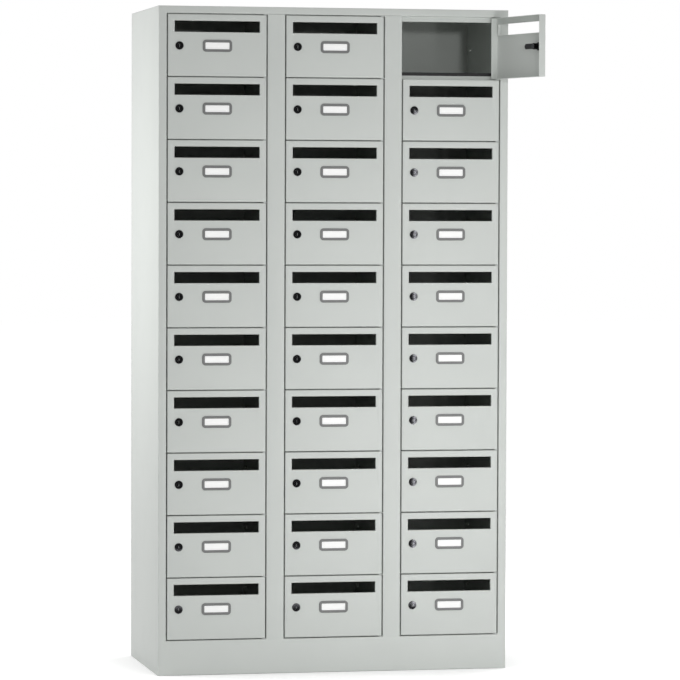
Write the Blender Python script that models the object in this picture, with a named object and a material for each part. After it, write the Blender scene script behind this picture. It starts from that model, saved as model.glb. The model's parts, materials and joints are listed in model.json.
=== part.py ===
"""Mail distribution cabinet in folded sheet steel: three columns of ten hinged mailbox doors.

The width runs along X, the depth along Y with the doors facing -Y, and the height along Z. The origin
lies on the floor, in the middle of the foot flange under the front plinth. Rows count from the top.
"""

import math

import bmesh
import bpy
from mathutils import Matrix, Vector

# Doors and their grid, in metres
COLUMNS = ("left", "middle", "right")
ROWS = 10
DOOR_WIDTH = 0.277
DOOR_HEIGHT = 0.1701
DOOR_FLANGE = 0.020
DOOR_SHEET = 0.001
DOOR_EDGE_BEVEL = 0.0008
DOOR_GAP = 0.003

# Cabinet body
CABINET_DEPTH = 0.480
BODY_SHEET = 0.001
SHELF_SHEET = 0.001
STILE_WIDTH = 0.0225
POST_WIDTH = 0.049
PLINTH_HEIGHT = 0.096
PLINTH_FOOT = 0.040
TOP_RAIL_HEIGHT = 0.020
REAR_RETURN = 0.020
LIP_ABOVE_GAP = 0.010
LIP_BELOW_GAP = 0.013

# Mail slot with its inward folded rim
SLOT_SIDE_MARGIN = 0.0195
SLOT_DROP = 0.018
SLOT_HEIGHT = 0.030
SLOT_RIM_DEPTH = 0.008

# Pivot hinge
PIN_RADIUS = 0.002
PIN_DEPTH = 0.005
LUG_WALL = 0.0015

# Cam lock
LOCK_INSET = 0.0325
FITTINGS_BELOW_SLOT = 0.0383
ROSETTE_RADIUS = 0.0115
ROSETTE_PROUD = 0.003
ROSETTE_BEVEL = 0.001
BARREL_RADIUS = 0.0088
PLUG_RADIUS = 0.006
NUT_RADIUS = 0.013
NUT_THICKNESS = 0.004
CAM_WIDTH = 0.015
CAM_THICKNESS = 0.002
CAM_OVERLAP = 0.008
KEYWAY_WIDTH = 0.0016
KEYWAY_LENGTH = 0.008
KEYWAY_DEPTH = 0.003

# Label holder and its card
HOLDER_WIDTH = 0.082
HOLDER_HEIGHT = 0.033
HOLDER_THICKNESS = 0.0024
HOLDER_CORNER = 0.007
HOLDER_BORDER = 0.0073
CARD_MARGIN = 0.003
CARD_THICKNESS = 0.0006

# Clearances
SEAT = 0.0003
PIN_CLEARANCE = 0.0003
PLUG_CLEARANCE = 0.0003
LUG_CLEARANCE = 0.00075
SWING_CLEARANCE = 0.0012
STOP_CLEARANCE = 0.0008
CAM_CLEARANCE = 0.0015
CUT_MARGIN = 0.010
WELD = 1e-6

# The top door of the right column stands open
OPEN_COLUMN = "right"
OPEN_ROW = 1
OPEN_ANGLE = math.radians(104)

# Facets of round shapes
ROUND_SIDES = 10
PIN_SIDES = 8
NUT_SIDES = 6
CORNER_STEPS = 2

# Sizes that follow from the ones above
OPENING_WIDTH = DOOR_WIDTH + 2 * DOOR_GAP
COLUMN_PITCH = OPENING_WIDTH + POST_WIDTH
ROW_PITCH = DOOR_HEIGHT + DOOR_GAP
CABINET_WIDTH = len(COLUMNS) * OPENING_WIDTH + (len(COLUMNS) - 1) * POST_WIDTH + 2 * STILE_WIDTH
RAIL_Z = PLINTH_HEIGHT + ROWS * ROW_PITCH + DOOR_GAP
CABINET_HEIGHT = RAIL_Z + TOP_RAIL_HEIGHT
FRONT = -PLINTH_FOOT / 2
REAR = FRONT + CABINET_DEPTH
SIDE_REAR = REAR - BODY_SHEET - SEAT
INNER_REAR = SIDE_REAR - BODY_SHEET - SEAT
BODY_TOP = CABINET_HEIGHT - BODY_SHEET - SEAT

# The pin stands far enough from the hinge edge for the door's front corner to swing inside the gap
CORNER_SWING = DOOR_GAP - SWING_CLEARANCE
PIN_INSET = (PIN_DEPTH**2 - CORNER_SWING**2) / (2 * CORNER_SWING)
PIN_TO_STILE = PIN_INSET + DOOR_GAP
LUG_THICKNESS = DOOR_GAP - 2 * LUG_CLEARANCE
PIN_LENGTH = LUG_CLEARANCE + LUG_THICKNESS / 2 - SEAT / 2

# A faceted hole keeps its clearance at the middle of each facet
EYE_RADIUS = (PIN_RADIUS + PIN_CLEARANCE) / math.cos(math.pi / PIN_SIDES)
BORE_RADIUS = (PLUG_RADIUS + PLUG_CLEARANCE) / math.cos(math.pi / ROUND_SIDES)

# The stop lips stand behind the sweep of the flange at the hinge
STOP_DEPTH = PIN_DEPTH + math.hypot(PIN_INSET, DOOR_FLANGE - PIN_DEPTH) + STOP_CLEARANCE

# Door coordinates: the hinge axis is the origin, at half the door's height
DOOR_LEFT = PIN_INSET - DOOR_WIDTH
DOOR_FRONT = -PIN_DEPTH
LEAF_BACK = DOOR_FRONT + DOOR_SHEET
SLOT_TOP = DOOR_HEIGHT / 2 - SLOT_DROP
SLOT_BOTTOM = SLOT_TOP - SLOT_HEIGHT
FITTINGS_Z = SLOT_BOTTOM - FITTINGS_BELOW_SLOT
LOCK_X = DOOR_LEFT + LOCK_INSET
LABEL_X = DOOR_LEFT + DOOR_WIDTH / 2
CAM_FRONT = DOOR_FRONT + DOOR_FLANGE + CAM_CLEARANCE
CAM_LENGTH = LOCK_INSET + DOOR_GAP + BODY_SHEET + CAM_OVERLAP
PLUG_FRONT = DOOR_FRONT - ROSETTE_PROUD + SEAT


def finish(name, colour, roughness, metallic):
    """A Principled material of one colour."""
    material = bpy.data.materials.new(name)
    material.use_nodes = True
    shader = material.node_tree.nodes["Principled BSDF"]
    shader.inputs["Base Color"].default_value = (*colour, 1.0)
    shader.inputs["Roughness"].default_value = roughness
    shader.inputs["Metallic"].default_value = metallic
    return material


def new_object(name, mesh, material):
    """A linked object with one material."""
    mesh.materials.clear()
    mesh.materials.append(material)
    thing = bpy.data.objects.new(name, mesh)
    bpy.context.scene.collection.objects.link(thing)
    return thing


def mesh_of(shape):
    """Closes a bmesh into a mesh whose faces point outwards."""
    bmesh.ops.recalc_face_normals(shape, faces=shape.faces)
    mesh = bpy.data.meshes.new("shape")
    shape.to_mesh(mesh)
    shape.free()
    return mesh


def prism(outline, axis, low, high):
    """Extrudes a closed outline along an axis; the outline holds the other two coordinates in order."""
    shape = bmesh.new()
    ring = []
    for point in outline:
        place = list(point)
        place.insert("XYZ".index(axis), low)
        ring.append(shape.verts.new(place))
    cap = shape.faces.new(ring)
    grown = bmesh.ops.extrude_face_region(shape, geom=[cap])
    moved = [item for item in grown["geom"] if isinstance(item, bmesh.types.BMVert)]
    travel = [0.0, 0.0, 0.0]
    travel["XYZ".index(axis)] = high - low
    bmesh.ops.translate(shape, verts=moved, vec=travel)
    return mesh_of(shape)


def block(low, high):
    """A box between two corners."""
    outline = [(low[0], low[1]), (high[0], low[1]), (high[0], high[1]), (low[0], high[1])]
    return prism(outline, "Z", low[2], high[2])


def turned(profile, sides, axis, centre, closed=False):
    """Spins (radius, height) points about an axis through centre; open profiles start and end at radius 0."""
    shape = bmesh.new()
    points = [shape.verts.new((radius, 0.0, height)) for radius, height in profile]
    lines = list(zip(points, points[1:]))
    if closed:
        lines.append((points[-1], points[0]))
    edges = [shape.edges.new(line) for line in lines]
    bmesh.ops.spin(
        shape,
        geom=points + edges,
        cent=(0.0, 0.0, 0.0),
        axis=(0.0, 0.0, 1.0),
        angle=2 * math.pi,
        steps=sides,
        use_merge=True,
    )
    bmesh.ops.remove_doubles(shape, verts=shape.verts, dist=WELD)
    turn = Vector((0.0, 0.0, 1.0)).rotation_difference(Vector(axis)).to_matrix().to_4x4()
    bmesh.ops.transform(shape, matrix=Matrix.Translation(centre) @ turn, verts=shape.verts)
    return mesh_of(shape)


def rod(radius, low, high, sides, axis, centre):
    """A solid round bar between two heights on an axis through centre."""
    return turned([(0.0, high), (radius, high), (radius, low), (0.0, low)], sides, axis, centre)


def group(meshes):
    """Several meshes that lie apart, gathered into one."""
    shape = bmesh.new()
    for mesh in meshes:
        shape.from_mesh(mesh)
    return mesh_of(shape)


def combine(mesh, operation, *others):
    """Joins other solids to a mesh, or cuts them out of it, one after another."""
    for other in others:
        base = bpy.data.objects.new("base", mesh)
        tool = bpy.data.objects.new("tool", other)
        for thing in (base, tool):
            bpy.context.scene.collection.objects.link(thing)
        step = base.modifiers.new("step", "BOOLEAN")
        step.operation = operation
        step.solver = "EXACT"
        step.object = tool
        graph = bpy.context.evaluated_depsgraph_get()
        mesh = bpy.data.meshes.new_from_object(base.evaluated_get(graph))
        for thing in (base, tool):
            bpy.data.objects.remove(thing)
    return mesh


def offset_path(path, distance):
    """Moves an open path sideways, to the right of its travel, with mitred corners."""
    normals = []
    for (ax, ay), (bx, by) in zip(path, path[1:]):
        length = math.hypot(bx - ax, by - ay)
        normals.append(((by - ay) / length, (ax - bx) / length))
    moved = []
    for index, (x, y) in enumerate(path):
        before = normals[max(index - 1, 0)]
        after = normals[min(index, len(normals) - 1)]
        reach = distance / (1 + before[0] * after[0] + before[1] * after[1])
        moved.append((x + reach * (before[0] + after[0]), y + reach * (before[1] + after[1])))
    return moved


def folded(path, sheet):
    """The outline of a sheet folded along a path, with its thickness to the right of travel."""
    return path + offset_path(path, sheet)[::-1]


def rounded_rectangle(centre, width, height, radius):
    """An outline with its corners as arcs."""
    points = []
    for corner, (sx, sy) in enumerate([(1, 1), (-1, 1), (-1, -1), (1, -1)]):
        arc_x = centre[0] + sx * (width / 2 - radius)
        arc_y = centre[1] + sy * (height / 2 - radius)
        for step in range(CORNER_STEPS + 1):
            angle = (corner + step / CORNER_STEPS) * math.pi / 2
            points.append((arc_x + radius * math.cos(angle), arc_y + radius * math.sin(angle)))
    return points


def column_x(index):
    """The middle of a column of doors."""
    return (index - (len(COLUMNS) - 1) / 2) * COLUMN_PITCH


def gap_z(index):
    """The middle of a gap between doors, counted from the one above the plinth."""
    return PLINTH_HEIGHT + DOOR_GAP / 2 + index * ROW_PITCH


def hinge_lugs(stile_x):
    """Lugs that stand in the gaps between the doors, with an eye for the pivot pins."""
    half = EYE_RADIUS + LUG_WALL
    reach = PIN_TO_STILE + half
    pin_y = FRONT + PIN_DEPTH
    plates = []
    eyes = []
    for index in range(ROWS + 1):
        low = gap_z(index) - LUG_THICKNESS / 2
        high = gap_z(index) + LUG_THICKNESS / 2
        root_x = stile_x + BODY_SHEET / 2
        plates.append(block((stile_x - reach, pin_y - half, low), (root_x, pin_y + half, high)))
        centre = (stile_x - PIN_TO_STILE, pin_y, gap_z(index))
        eyes.append(rod(EYE_RADIUS, -LUG_THICKNESS, LUG_THICKNESS, PIN_SIDES, (0, 0, 1), centre))
    return combine(group(plates), "DIFFERENCE", group(eyes))


def side_panel(side):
    """A side wall folded into the front stile and the rear return; the right one carries hinge lugs."""
    wall = side * CABINET_WIDTH / 2
    stile = wall - side * STILE_WIDTH
    path = [
        (wall - side * REAR_RETURN, SIDE_REAR),
        (wall, SIDE_REAR),
        (wall, FRONT),
        (stile, FRONT),
        (stile, FRONT + DOOR_FLANGE),
    ]
    panel = prism(folded(path, side * BODY_SHEET), "Z", 0.0, BODY_TOP)
    if side > 0:
        panel = combine(panel, "UNION", hinge_lugs(stile))
    return panel


def front_post(middle_x):
    """A channel between two columns, with the lugs of the column to its left."""
    left = middle_x - POST_WIDTH / 2
    right = middle_x + POST_WIDTH / 2
    path = [
        (right, FRONT + DOOR_FLANGE),
        (right, FRONT),
        (left, FRONT),
        (left, FRONT + DOOR_FLANGE),
    ]
    channel = prism(folded(path, BODY_SHEET), "Z", PLINTH_HEIGHT + SEAT, RAIL_Z - SEAT)
    return combine(channel, "UNION", hinge_lugs(left))


def top_panel():
    """The top sheet folded down into the front rail and back up to the stop lip of the top row."""
    lip = FRONT + STOP_DEPTH
    path = [
        (lip, gap_z(ROWS) - LIP_BELOW_GAP),
        (lip, RAIL_Z),
        (FRONT, RAIL_Z),
        (FRONT, CABINET_HEIGHT),
        (REAR, CABINET_HEIGHT),
    ]
    sheet = prism(folded(path, BODY_SHEET), "X", -CABINET_WIDTH / 2, CABINET_WIDTH / 2)
    rail_end = CABINET_WIDTH / 2 - STILE_WIDTH - SEAT
    notches = []
    for side in (-1, 1):
        ends = sorted((side * rail_end, side * (CABINET_WIDTH / 2 + CUT_MARGIN)))
        low = (ends[0], FRONT - CUT_MARGIN, gap_z(ROWS) - LIP_BELOW_GAP - CUT_MARGIN)
        high = (ends[1], lip + BODY_SHEET + CUT_MARGIN, CABINET_HEIGHT - BODY_SHEET)
        notches.append(block(low, high))
    return combine(sheet, "DIFFERENCE", *notches)


def plinth():
    """The front plinth, folded back at its top and into a foot flange on the floor."""
    path = [
        (FRONT + PLINTH_FOOT, 0.0),
        (FRONT, 0.0),
        (FRONT, PLINTH_HEIGHT),
        (FRONT + DOOR_FLANGE, PLINTH_HEIGHT),
    ]
    half = CABINET_WIDTH / 2 - STILE_WIDTH - SEAT
    return prism(folded(path, BODY_SHEET), "X", -half, half)


def floor_panel():
    """The floor of the bottom row, with its stop lip at the front and a flange at the rear."""
    lip = FRONT + STOP_DEPTH
    top = gap_z(0) + LIP_ABOVE_GAP
    bottom = gap_z(0) - LIP_BELOW_GAP
    path = [(lip, bottom), (lip, top), (INNER_REAR, top), (INNER_REAR, bottom)]
    half = CABINET_WIDTH / 2 - BODY_SHEET - SEAT
    return prism(folded(path, BODY_SHEET), "X", -half, half)


def partition(middle_x):
    """The wall between two columns: it enters the post's channel and passes behind the top stop lip."""
    front = FRONT + BODY_SHEET + SEAT
    behind_lip = FRONT + STOP_DEPTH + BODY_SHEET + SEAT
    bottom = gap_z(0) + LIP_ABOVE_GAP + SEAT
    shoulder = gap_z(ROWS) - LIP_BELOW_GAP - SEAT
    outline = [
        (front, bottom),
        (INNER_REAR, bottom),
        (INNER_REAR, BODY_TOP),
        (behind_lip, BODY_TOP),
        (behind_lip, shoulder),
        (front, shoulder),
    ]
    return prism(outline, "X", middle_x - BODY_SHEET / 2, middle_x + BODY_SHEET / 2)


def shelf_rack(left_x, right_x):
    """One column's shelves, each folded down to a stop lip in front and up to the next shelf behind."""
    lip = FRONT + STOP_DEPTH
    web = INNER_REAR - SHELF_SHEET
    bottom = gap_z(0) + LIP_ABOVE_GAP + SEAT
    outline = [(INNER_REAR, bottom), (INNER_REAR, BODY_TOP), (web, BODY_TOP)]
    for index in range(ROWS - 1, 0, -1):
        top = gap_z(index) + LIP_ABOVE_GAP
        edge = gap_z(index) - LIP_BELOW_GAP
        under = top - SHELF_SHEET
        outline += [(web, top), (lip, top), (lip, edge)]
        outline += [(lip + SHELF_SHEET, edge), (lip + SHELF_SHEET, under), (web, under)]
    outline.append((web, bottom))
    return prism(outline, "X", left_x, right_x)


def cam_outline():
    """The cam lever in the plane of the door, pointing from the lock towards the hinge."""
    half = CAM_WIDTH / 2
    points = []
    for centre, start in ((LOCK_X + CAM_LENGTH - half, -0.5), (LOCK_X, 0.5)):
        for step in range(CORNER_STEPS * 2 + 1):
            angle = math.pi * (start + step / (CORNER_STEPS * 2))
            points.append((centre + half * math.cos(angle), FITTINGS_Z + half * math.sin(angle)))
    return points


def barrel_profile(rosette_back, bore):
    """Radius and depth of the lock barrel behind the door's front, from its rosette to its end."""
    face = DOOR_FRONT - ROSETTE_PROUD
    end = CAM_FRONT - SEAT
    outer = [
        (ROSETTE_RADIUS - ROSETTE_BEVEL, face),
        (ROSETTE_RADIUS, face + ROSETTE_BEVEL),
        (ROSETTE_RADIUS, rosette_back),
        (BARREL_RADIUS, rosette_back),
        (BARREL_RADIUS, end),
    ]
    return [(bore, face)] + outer + [(bore, end)]


def lock_barrel(rosette_back, bore):
    """The lock's housing, bored for the plug where bore is above 0."""
    profile = [(radius, -depth) for radius, depth in barrel_profile(rosette_back, bore)]
    centre = (LOCK_X, 0.0, FITTINGS_Z)
    return turned(profile, ROUND_SIDES, (0, -1, 0), centre, closed=bore > 0)


def lock_nut():
    """The hexagon nut that clamps the barrel behind the leaf, bored to pass over it."""
    centre = (LOCK_X, 0.0, FITTINGS_Z)
    low = LEAF_BACK + SEAT
    nut = rod(NUT_RADIUS, low, low + NUT_THICKNESS, NUT_SIDES, (0, 1, 0), centre)
    bore_radius = BARREL_RADIUS + SEAT
    bore = rod(bore_radius, LEAF_BACK, low + NUT_THICKNESS + SEAT, ROUND_SIDES, (0, 1, 0), centre)
    return combine(nut, "DIFFERENCE", bore)


def lock_cam():
    """The plug with its keyway, and the cam lever fixed to its inner end."""
    centre = (LOCK_X, 0.0, FITTINGS_Z)
    root = CAM_FRONT + CAM_THICKNESS / 2
    plug = rod(PLUG_RADIUS, PLUG_FRONT, root, ROUND_SIDES, (0, 1, 0), centre)
    lever = prism(cam_outline(), "Y", CAM_FRONT, CAM_FRONT + CAM_THICKNESS)
    keyway = block(
        (LOCK_X - KEYWAY_WIDTH / 2, PLUG_FRONT - CUT_MARGIN, FITTINGS_Z - KEYWAY_LENGTH / 2),
        (LOCK_X + KEYWAY_WIDTH / 2, PLUG_FRONT + KEYWAY_DEPTH, FITTINGS_Z + KEYWAY_LENGTH / 2),
    )
    return combine(combine(plug, "UNION", lever), "DIFFERENCE", keyway)


def label_block(back):
    """The outer form of the label holder, from its front to a given depth."""
    outline = rounded_rectangle((LABEL_X, FITTINGS_Z), HOLDER_WIDTH, HOLDER_HEIGHT, HOLDER_CORNER)
    return prism(outline, "Y", DOOR_FRONT - HOLDER_THICKNESS, back)


def label_window(back):
    """The window in the label holder, cut from in front of it to a given depth."""
    half_x = HOLDER_WIDTH / 2 - HOLDER_BORDER
    half_z = HOLDER_HEIGHT / 2 - HOLDER_BORDER
    low = (LABEL_X - half_x, DOOR_FRONT - HOLDER_THICKNESS - CUT_MARGIN, FITTINGS_Z - half_z)
    return block(low, (LABEL_X + half_x, back, FITTINGS_Z + half_z))


def card_block(front, back, spread):
    """The card's form between two depths, larger or smaller on every edge by spread."""
    half_x = HOLDER_WIDTH / 2 - CARD_MARGIN + spread
    half_z = HOLDER_HEIGHT / 2 - CARD_MARGIN + spread
    low = (LABEL_X - half_x, front, FITTINGS_Z - half_z)
    high = (LABEL_X + half_x, back, FITTINGS_Z + half_z)
    return block(low, high)


def door_leaf():
    """The folded door leaf with its bevelled front edge, rimmed mail slot and pivot pins."""
    outer = bmesh.new()
    outer.from_mesh(
        block(
            (DOOR_LEFT, DOOR_FRONT, -DOOR_HEIGHT / 2),
            (PIN_INSET, DOOR_FRONT + DOOR_FLANGE, DOOR_HEIGHT / 2),
        )
    )
    middle_y = DOOR_FRONT + DOOR_FLANGE / 2
    rim = [edge for edge in outer.edges if all(vert.co.y < middle_y for vert in edge.verts)]
    bmesh.ops.bevel(outer, geom=rim, offset=DOOR_EDGE_BEVEL, segments=1, affect="EDGES")
    hollow = block(
        (DOOR_LEFT + DOOR_SHEET, LEAF_BACK, -DOOR_HEIGHT / 2 + DOOR_SHEET),
        (PIN_INSET - DOOR_SHEET, DOOR_FRONT + DOOR_FLANGE + CUT_MARGIN, DOOR_HEIGHT / 2 - DOOR_SHEET),
    )
    leaf = combine(mesh_of(outer), "DIFFERENCE", hollow)
    slot_left = DOOR_LEFT + SLOT_SIDE_MARGIN
    slot_right = PIN_INSET - SLOT_SIDE_MARGIN
    rim_back = DOOR_FRONT + SLOT_RIM_DEPTH
    slot_rim = block(
        (slot_left - DOOR_SHEET, DOOR_FRONT + DOOR_SHEET / 2, SLOT_BOTTOM - DOOR_SHEET),
        (slot_right + DOOR_SHEET, rim_back, SLOT_TOP + DOOR_SHEET),
    )
    slot = block(
        (slot_left, DOOR_FRONT - CUT_MARGIN, SLOT_BOTTOM),
        (slot_right, rim_back + CUT_MARGIN, SLOT_TOP),
    )
    leaf = combine(combine(leaf, "UNION", slot_rim), "DIFFERENCE", slot)
    pins = []
    for end in (-1, 1):
        centre = (0.0, 0.0, end * DOOR_HEIGHT / 2)
        pins.append(rod(PIN_RADIUS, -DOOR_SHEET / 2, PIN_LENGTH, PIN_SIDES, (0, 0, end), centre))
    return combine(leaf, "UNION", *pins)


def bare_door():
    """A leaf with only the hole for its lock; holder and lock are pieces of their own."""
    hole_radius = BARREL_RADIUS + SEAT
    centre = (LOCK_X, 0.0, FITTINGS_Z)
    back = LEAF_BACK + CUT_MARGIN
    hole = rod(hole_radius, DOOR_FRONT - CUT_MARGIN, back, ROUND_SIDES, (0, 1, 0), centre)
    return combine(door_leaf(), "DIFFERENCE", hole)


def fitted_door(bored):
    """A leaf joined with its label holder and lock; bored where its plug turns as a piece of its own."""
    sheet_middle = DOOR_FRONT + DOOR_SHEET / 2
    door = combine(door_leaf(), "UNION", label_block(sheet_middle))
    door = combine(door, "DIFFERENCE", label_window(DOOR_FRONT - CARD_THICKNESS))
    door = combine(door, "UNION", lock_barrel(sheet_middle, 0.0))
    if bored:
        centre = (LOCK_X, 0.0, FITTINGS_Z)
        low = DOOR_FRONT - ROSETTE_PROUD - CUT_MARGIN
        bore = rod(BORE_RADIUS, low, CAM_FRONT + CUT_MARGIN, ROUND_SIDES, (0, 1, 0), centre)
        return combine(door, "DIFFERENCE", bore)
    lever = prism(cam_outline(), "Y", CAM_FRONT - 2 * SEAT, CAM_FRONT + CAM_THICKNESS)
    return combine(door, "UNION", lever)


def label_holder():
    """A frame with a window and a pocket behind it for the card."""
    back = DOOR_FRONT - SEAT
    pocket_front = DOOR_FRONT - CARD_THICKNESS - 3 * SEAT
    pocket = card_block(pocket_front, DOOR_FRONT + CUT_MARGIN, SEAT)
    return combine(label_block(back), "DIFFERENCE", label_window(DOOR_FRONT + CUT_MARGIN), pocket)


def label_card():
    """The plain card behind the window."""
    return card_block(DOOR_FRONT - CARD_THICKNESS - 2 * SEAT, DOOR_FRONT - 2 * SEAT, 0.0)


def build_body(paint):
    """Every fixed panel of the cabinet."""
    new_object("left_side_panel", side_panel(-1), paint)
    new_object("right_side_panel", side_panel(1), paint)
    rear_low = (-CABINET_WIDTH / 2, REAR - BODY_SHEET, 0.0)
    new_object("back_panel", block(rear_low, (CABINET_WIDTH / 2, REAR, BODY_TOP)), paint)
    new_object("top_panel", top_panel(), paint)
    new_object("plinth_front", plinth(), paint)
    new_object("floor_panel", floor_panel(), paint)
    walls = [-CABINET_WIDTH / 2 + BODY_SHEET]
    for index, name in enumerate(("left", "right")):
        middle_x = (column_x(index) + column_x(index + 1)) / 2
        new_object(f"{name}_post", front_post(middle_x), paint)
        new_object(f"{name}_partition", partition(middle_x), paint)
        walls += [middle_x - BODY_SHEET / 2, middle_x + BODY_SHEET / 2]
    walls.append(CABINET_WIDTH / 2 - BODY_SHEET)
    for index, name in enumerate(COLUMNS):
        rack = shelf_rack(walls[2 * index] + SEAT, walls[2 * index + 1] - SEAT)
        new_object(f"{name}_shelf_rack", rack, paint)


def hang_on(door, name, mesh, material):
    """A piece carried by a door, modelled in the door's own coordinates."""
    piece = new_object(name, mesh, material)
    piece.parent = door
    return piece


def moved_to_axis(mesh, axis_point):
    """Shifts a mesh so that a point of its axis becomes its origin."""
    mesh.transform(Matrix.Translation(-Vector(axis_point)))
    return mesh


def build_doors(paint, metal, plastic, paper):
    """Thirty doors on their hinge axes; the right column's locks turn as pieces of their own."""
    plain_door = fitted_door(bored=False)
    bored_door = fitted_door(bored=True)
    lock_axis = (LOCK_X, 0.0, FITTINGS_Z)
    cam_mesh = moved_to_axis(lock_cam(), lock_axis)
    for index, column in enumerate(COLUMNS):
        hinge_x = column_x(index) + DOOR_WIDTH / 2 - PIN_INSET
        for row in range(1, ROWS + 1):
            is_open = column == OPEN_COLUMN and row == OPEN_ROW
            shared = bored_door if column == OPEN_COLUMN else plain_door
            door = new_object(f"{column}_door_{row:02d}", bare_door() if is_open else shared, paint)
            middle_z = RAIL_Z - DOOR_GAP - DOOR_HEIGHT / 2 - (row - 1) * ROW_PITCH
            door.location = (hinge_x, FRONT + PIN_DEPTH, middle_z)
            if is_open:
                door.rotation_euler.z = OPEN_ANGLE
                mark = f"{column}_{{}}_{row:02d}"
                barrel = lock_barrel(DOOR_FRONT - SEAT, BORE_RADIUS)
                hang_on(door, mark.format("label_holder"), label_holder(), plastic)
                hang_on(door, mark.format("label_card"), label_card(), paper)
                hang_on(door, mark.format("lock_barrel"), barrel, metal)
                hang_on(door, mark.format("lock_nut"), lock_nut(), metal)
            if column == OPEN_COLUMN:
                cam = hang_on(door, f"{column}_lock_cam_{row:02d}", cam_mesh, metal)
                cam.location = lock_axis


def main():
    """Clears the scene and builds the cabinet."""
    for thing in list(bpy.data.objects):
        bpy.data.objects.remove(thing)
    paint = finish("light_grey_paint", (0.60, 0.63, 0.60), 0.45, 0.0)
    metal = finish("lock_metal", (0.12, 0.12, 0.12), 0.3, 0.9)
    plastic = finish("label_frame_plastic", (0.18, 0.18, 0.18), 0.5, 0.0)
    paper = finish("label_card_paper", (0.90, 0.90, 0.88), 0.8, 0.0)
    build_body(paint)
    build_doors(paint, metal, plastic, paper)


main()
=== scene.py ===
"""Dresses the mail distribution cabinet: folded panels, mail doors, locks and label holders.

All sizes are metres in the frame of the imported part: X to the right, Y from the doors to the back,
Z up. The panels are sheets carried along folded paths, and the doors' fittings are lofts between
closed loops.
"""

import json
import logging
import math
from collections.abc import Callable
from dataclasses import dataclass, field
from enum import Enum
from typing import Any

import bmesh
import bpy
import numpy as np
from mathutils import Matrix, Vector

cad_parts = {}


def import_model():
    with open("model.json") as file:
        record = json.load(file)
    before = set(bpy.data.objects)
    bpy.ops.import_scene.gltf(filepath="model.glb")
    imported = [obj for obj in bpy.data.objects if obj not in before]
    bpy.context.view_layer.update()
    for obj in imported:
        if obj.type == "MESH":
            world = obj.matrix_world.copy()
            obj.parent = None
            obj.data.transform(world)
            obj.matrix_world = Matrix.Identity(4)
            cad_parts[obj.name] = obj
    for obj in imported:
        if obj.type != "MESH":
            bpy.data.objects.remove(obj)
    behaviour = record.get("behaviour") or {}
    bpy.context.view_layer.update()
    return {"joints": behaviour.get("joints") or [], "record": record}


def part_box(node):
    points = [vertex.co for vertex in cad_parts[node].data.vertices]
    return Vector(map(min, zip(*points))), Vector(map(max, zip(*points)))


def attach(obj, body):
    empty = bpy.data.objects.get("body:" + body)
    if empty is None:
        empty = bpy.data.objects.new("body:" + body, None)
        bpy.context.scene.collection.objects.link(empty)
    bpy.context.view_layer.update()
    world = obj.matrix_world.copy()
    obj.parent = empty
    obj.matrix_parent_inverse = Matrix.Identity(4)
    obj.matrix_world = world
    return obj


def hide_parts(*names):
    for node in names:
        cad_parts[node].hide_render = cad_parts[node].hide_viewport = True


LOG = logging.getLogger("mail_cabinet")
Place = tuple[float, float, float]
Colour = tuple[float, float, float]

# Steps of round shapes, and how meshes are closed
FOLD_STEPS = 6
CORNER_STEPS = 6
ROUND_SIDES = 48
HEAD_SIDES = 16
WELD = 2e-6
TINY = 1e-9
SHARP_ANGLE = math.radians(38)

# Node trees
FOLD_ATTRIBUTE = "fold"
NODE_SPACING = (220, 260)
NODES_PER_ROW = 6
WHITE = (1.0, 1.0, 1.0, 1.0)


class Column(Enum):
    """The three columns of doors."""

    LEFT = "left"
    MIDDLE = "middle"
    RIGHT = "right"


class Slot(Enum):
    """Material slots of the record."""

    PAINT = "body_paint"
    LOCK = "lock_metal"
    FRAME = "label_frame"


# Shapes


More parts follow.
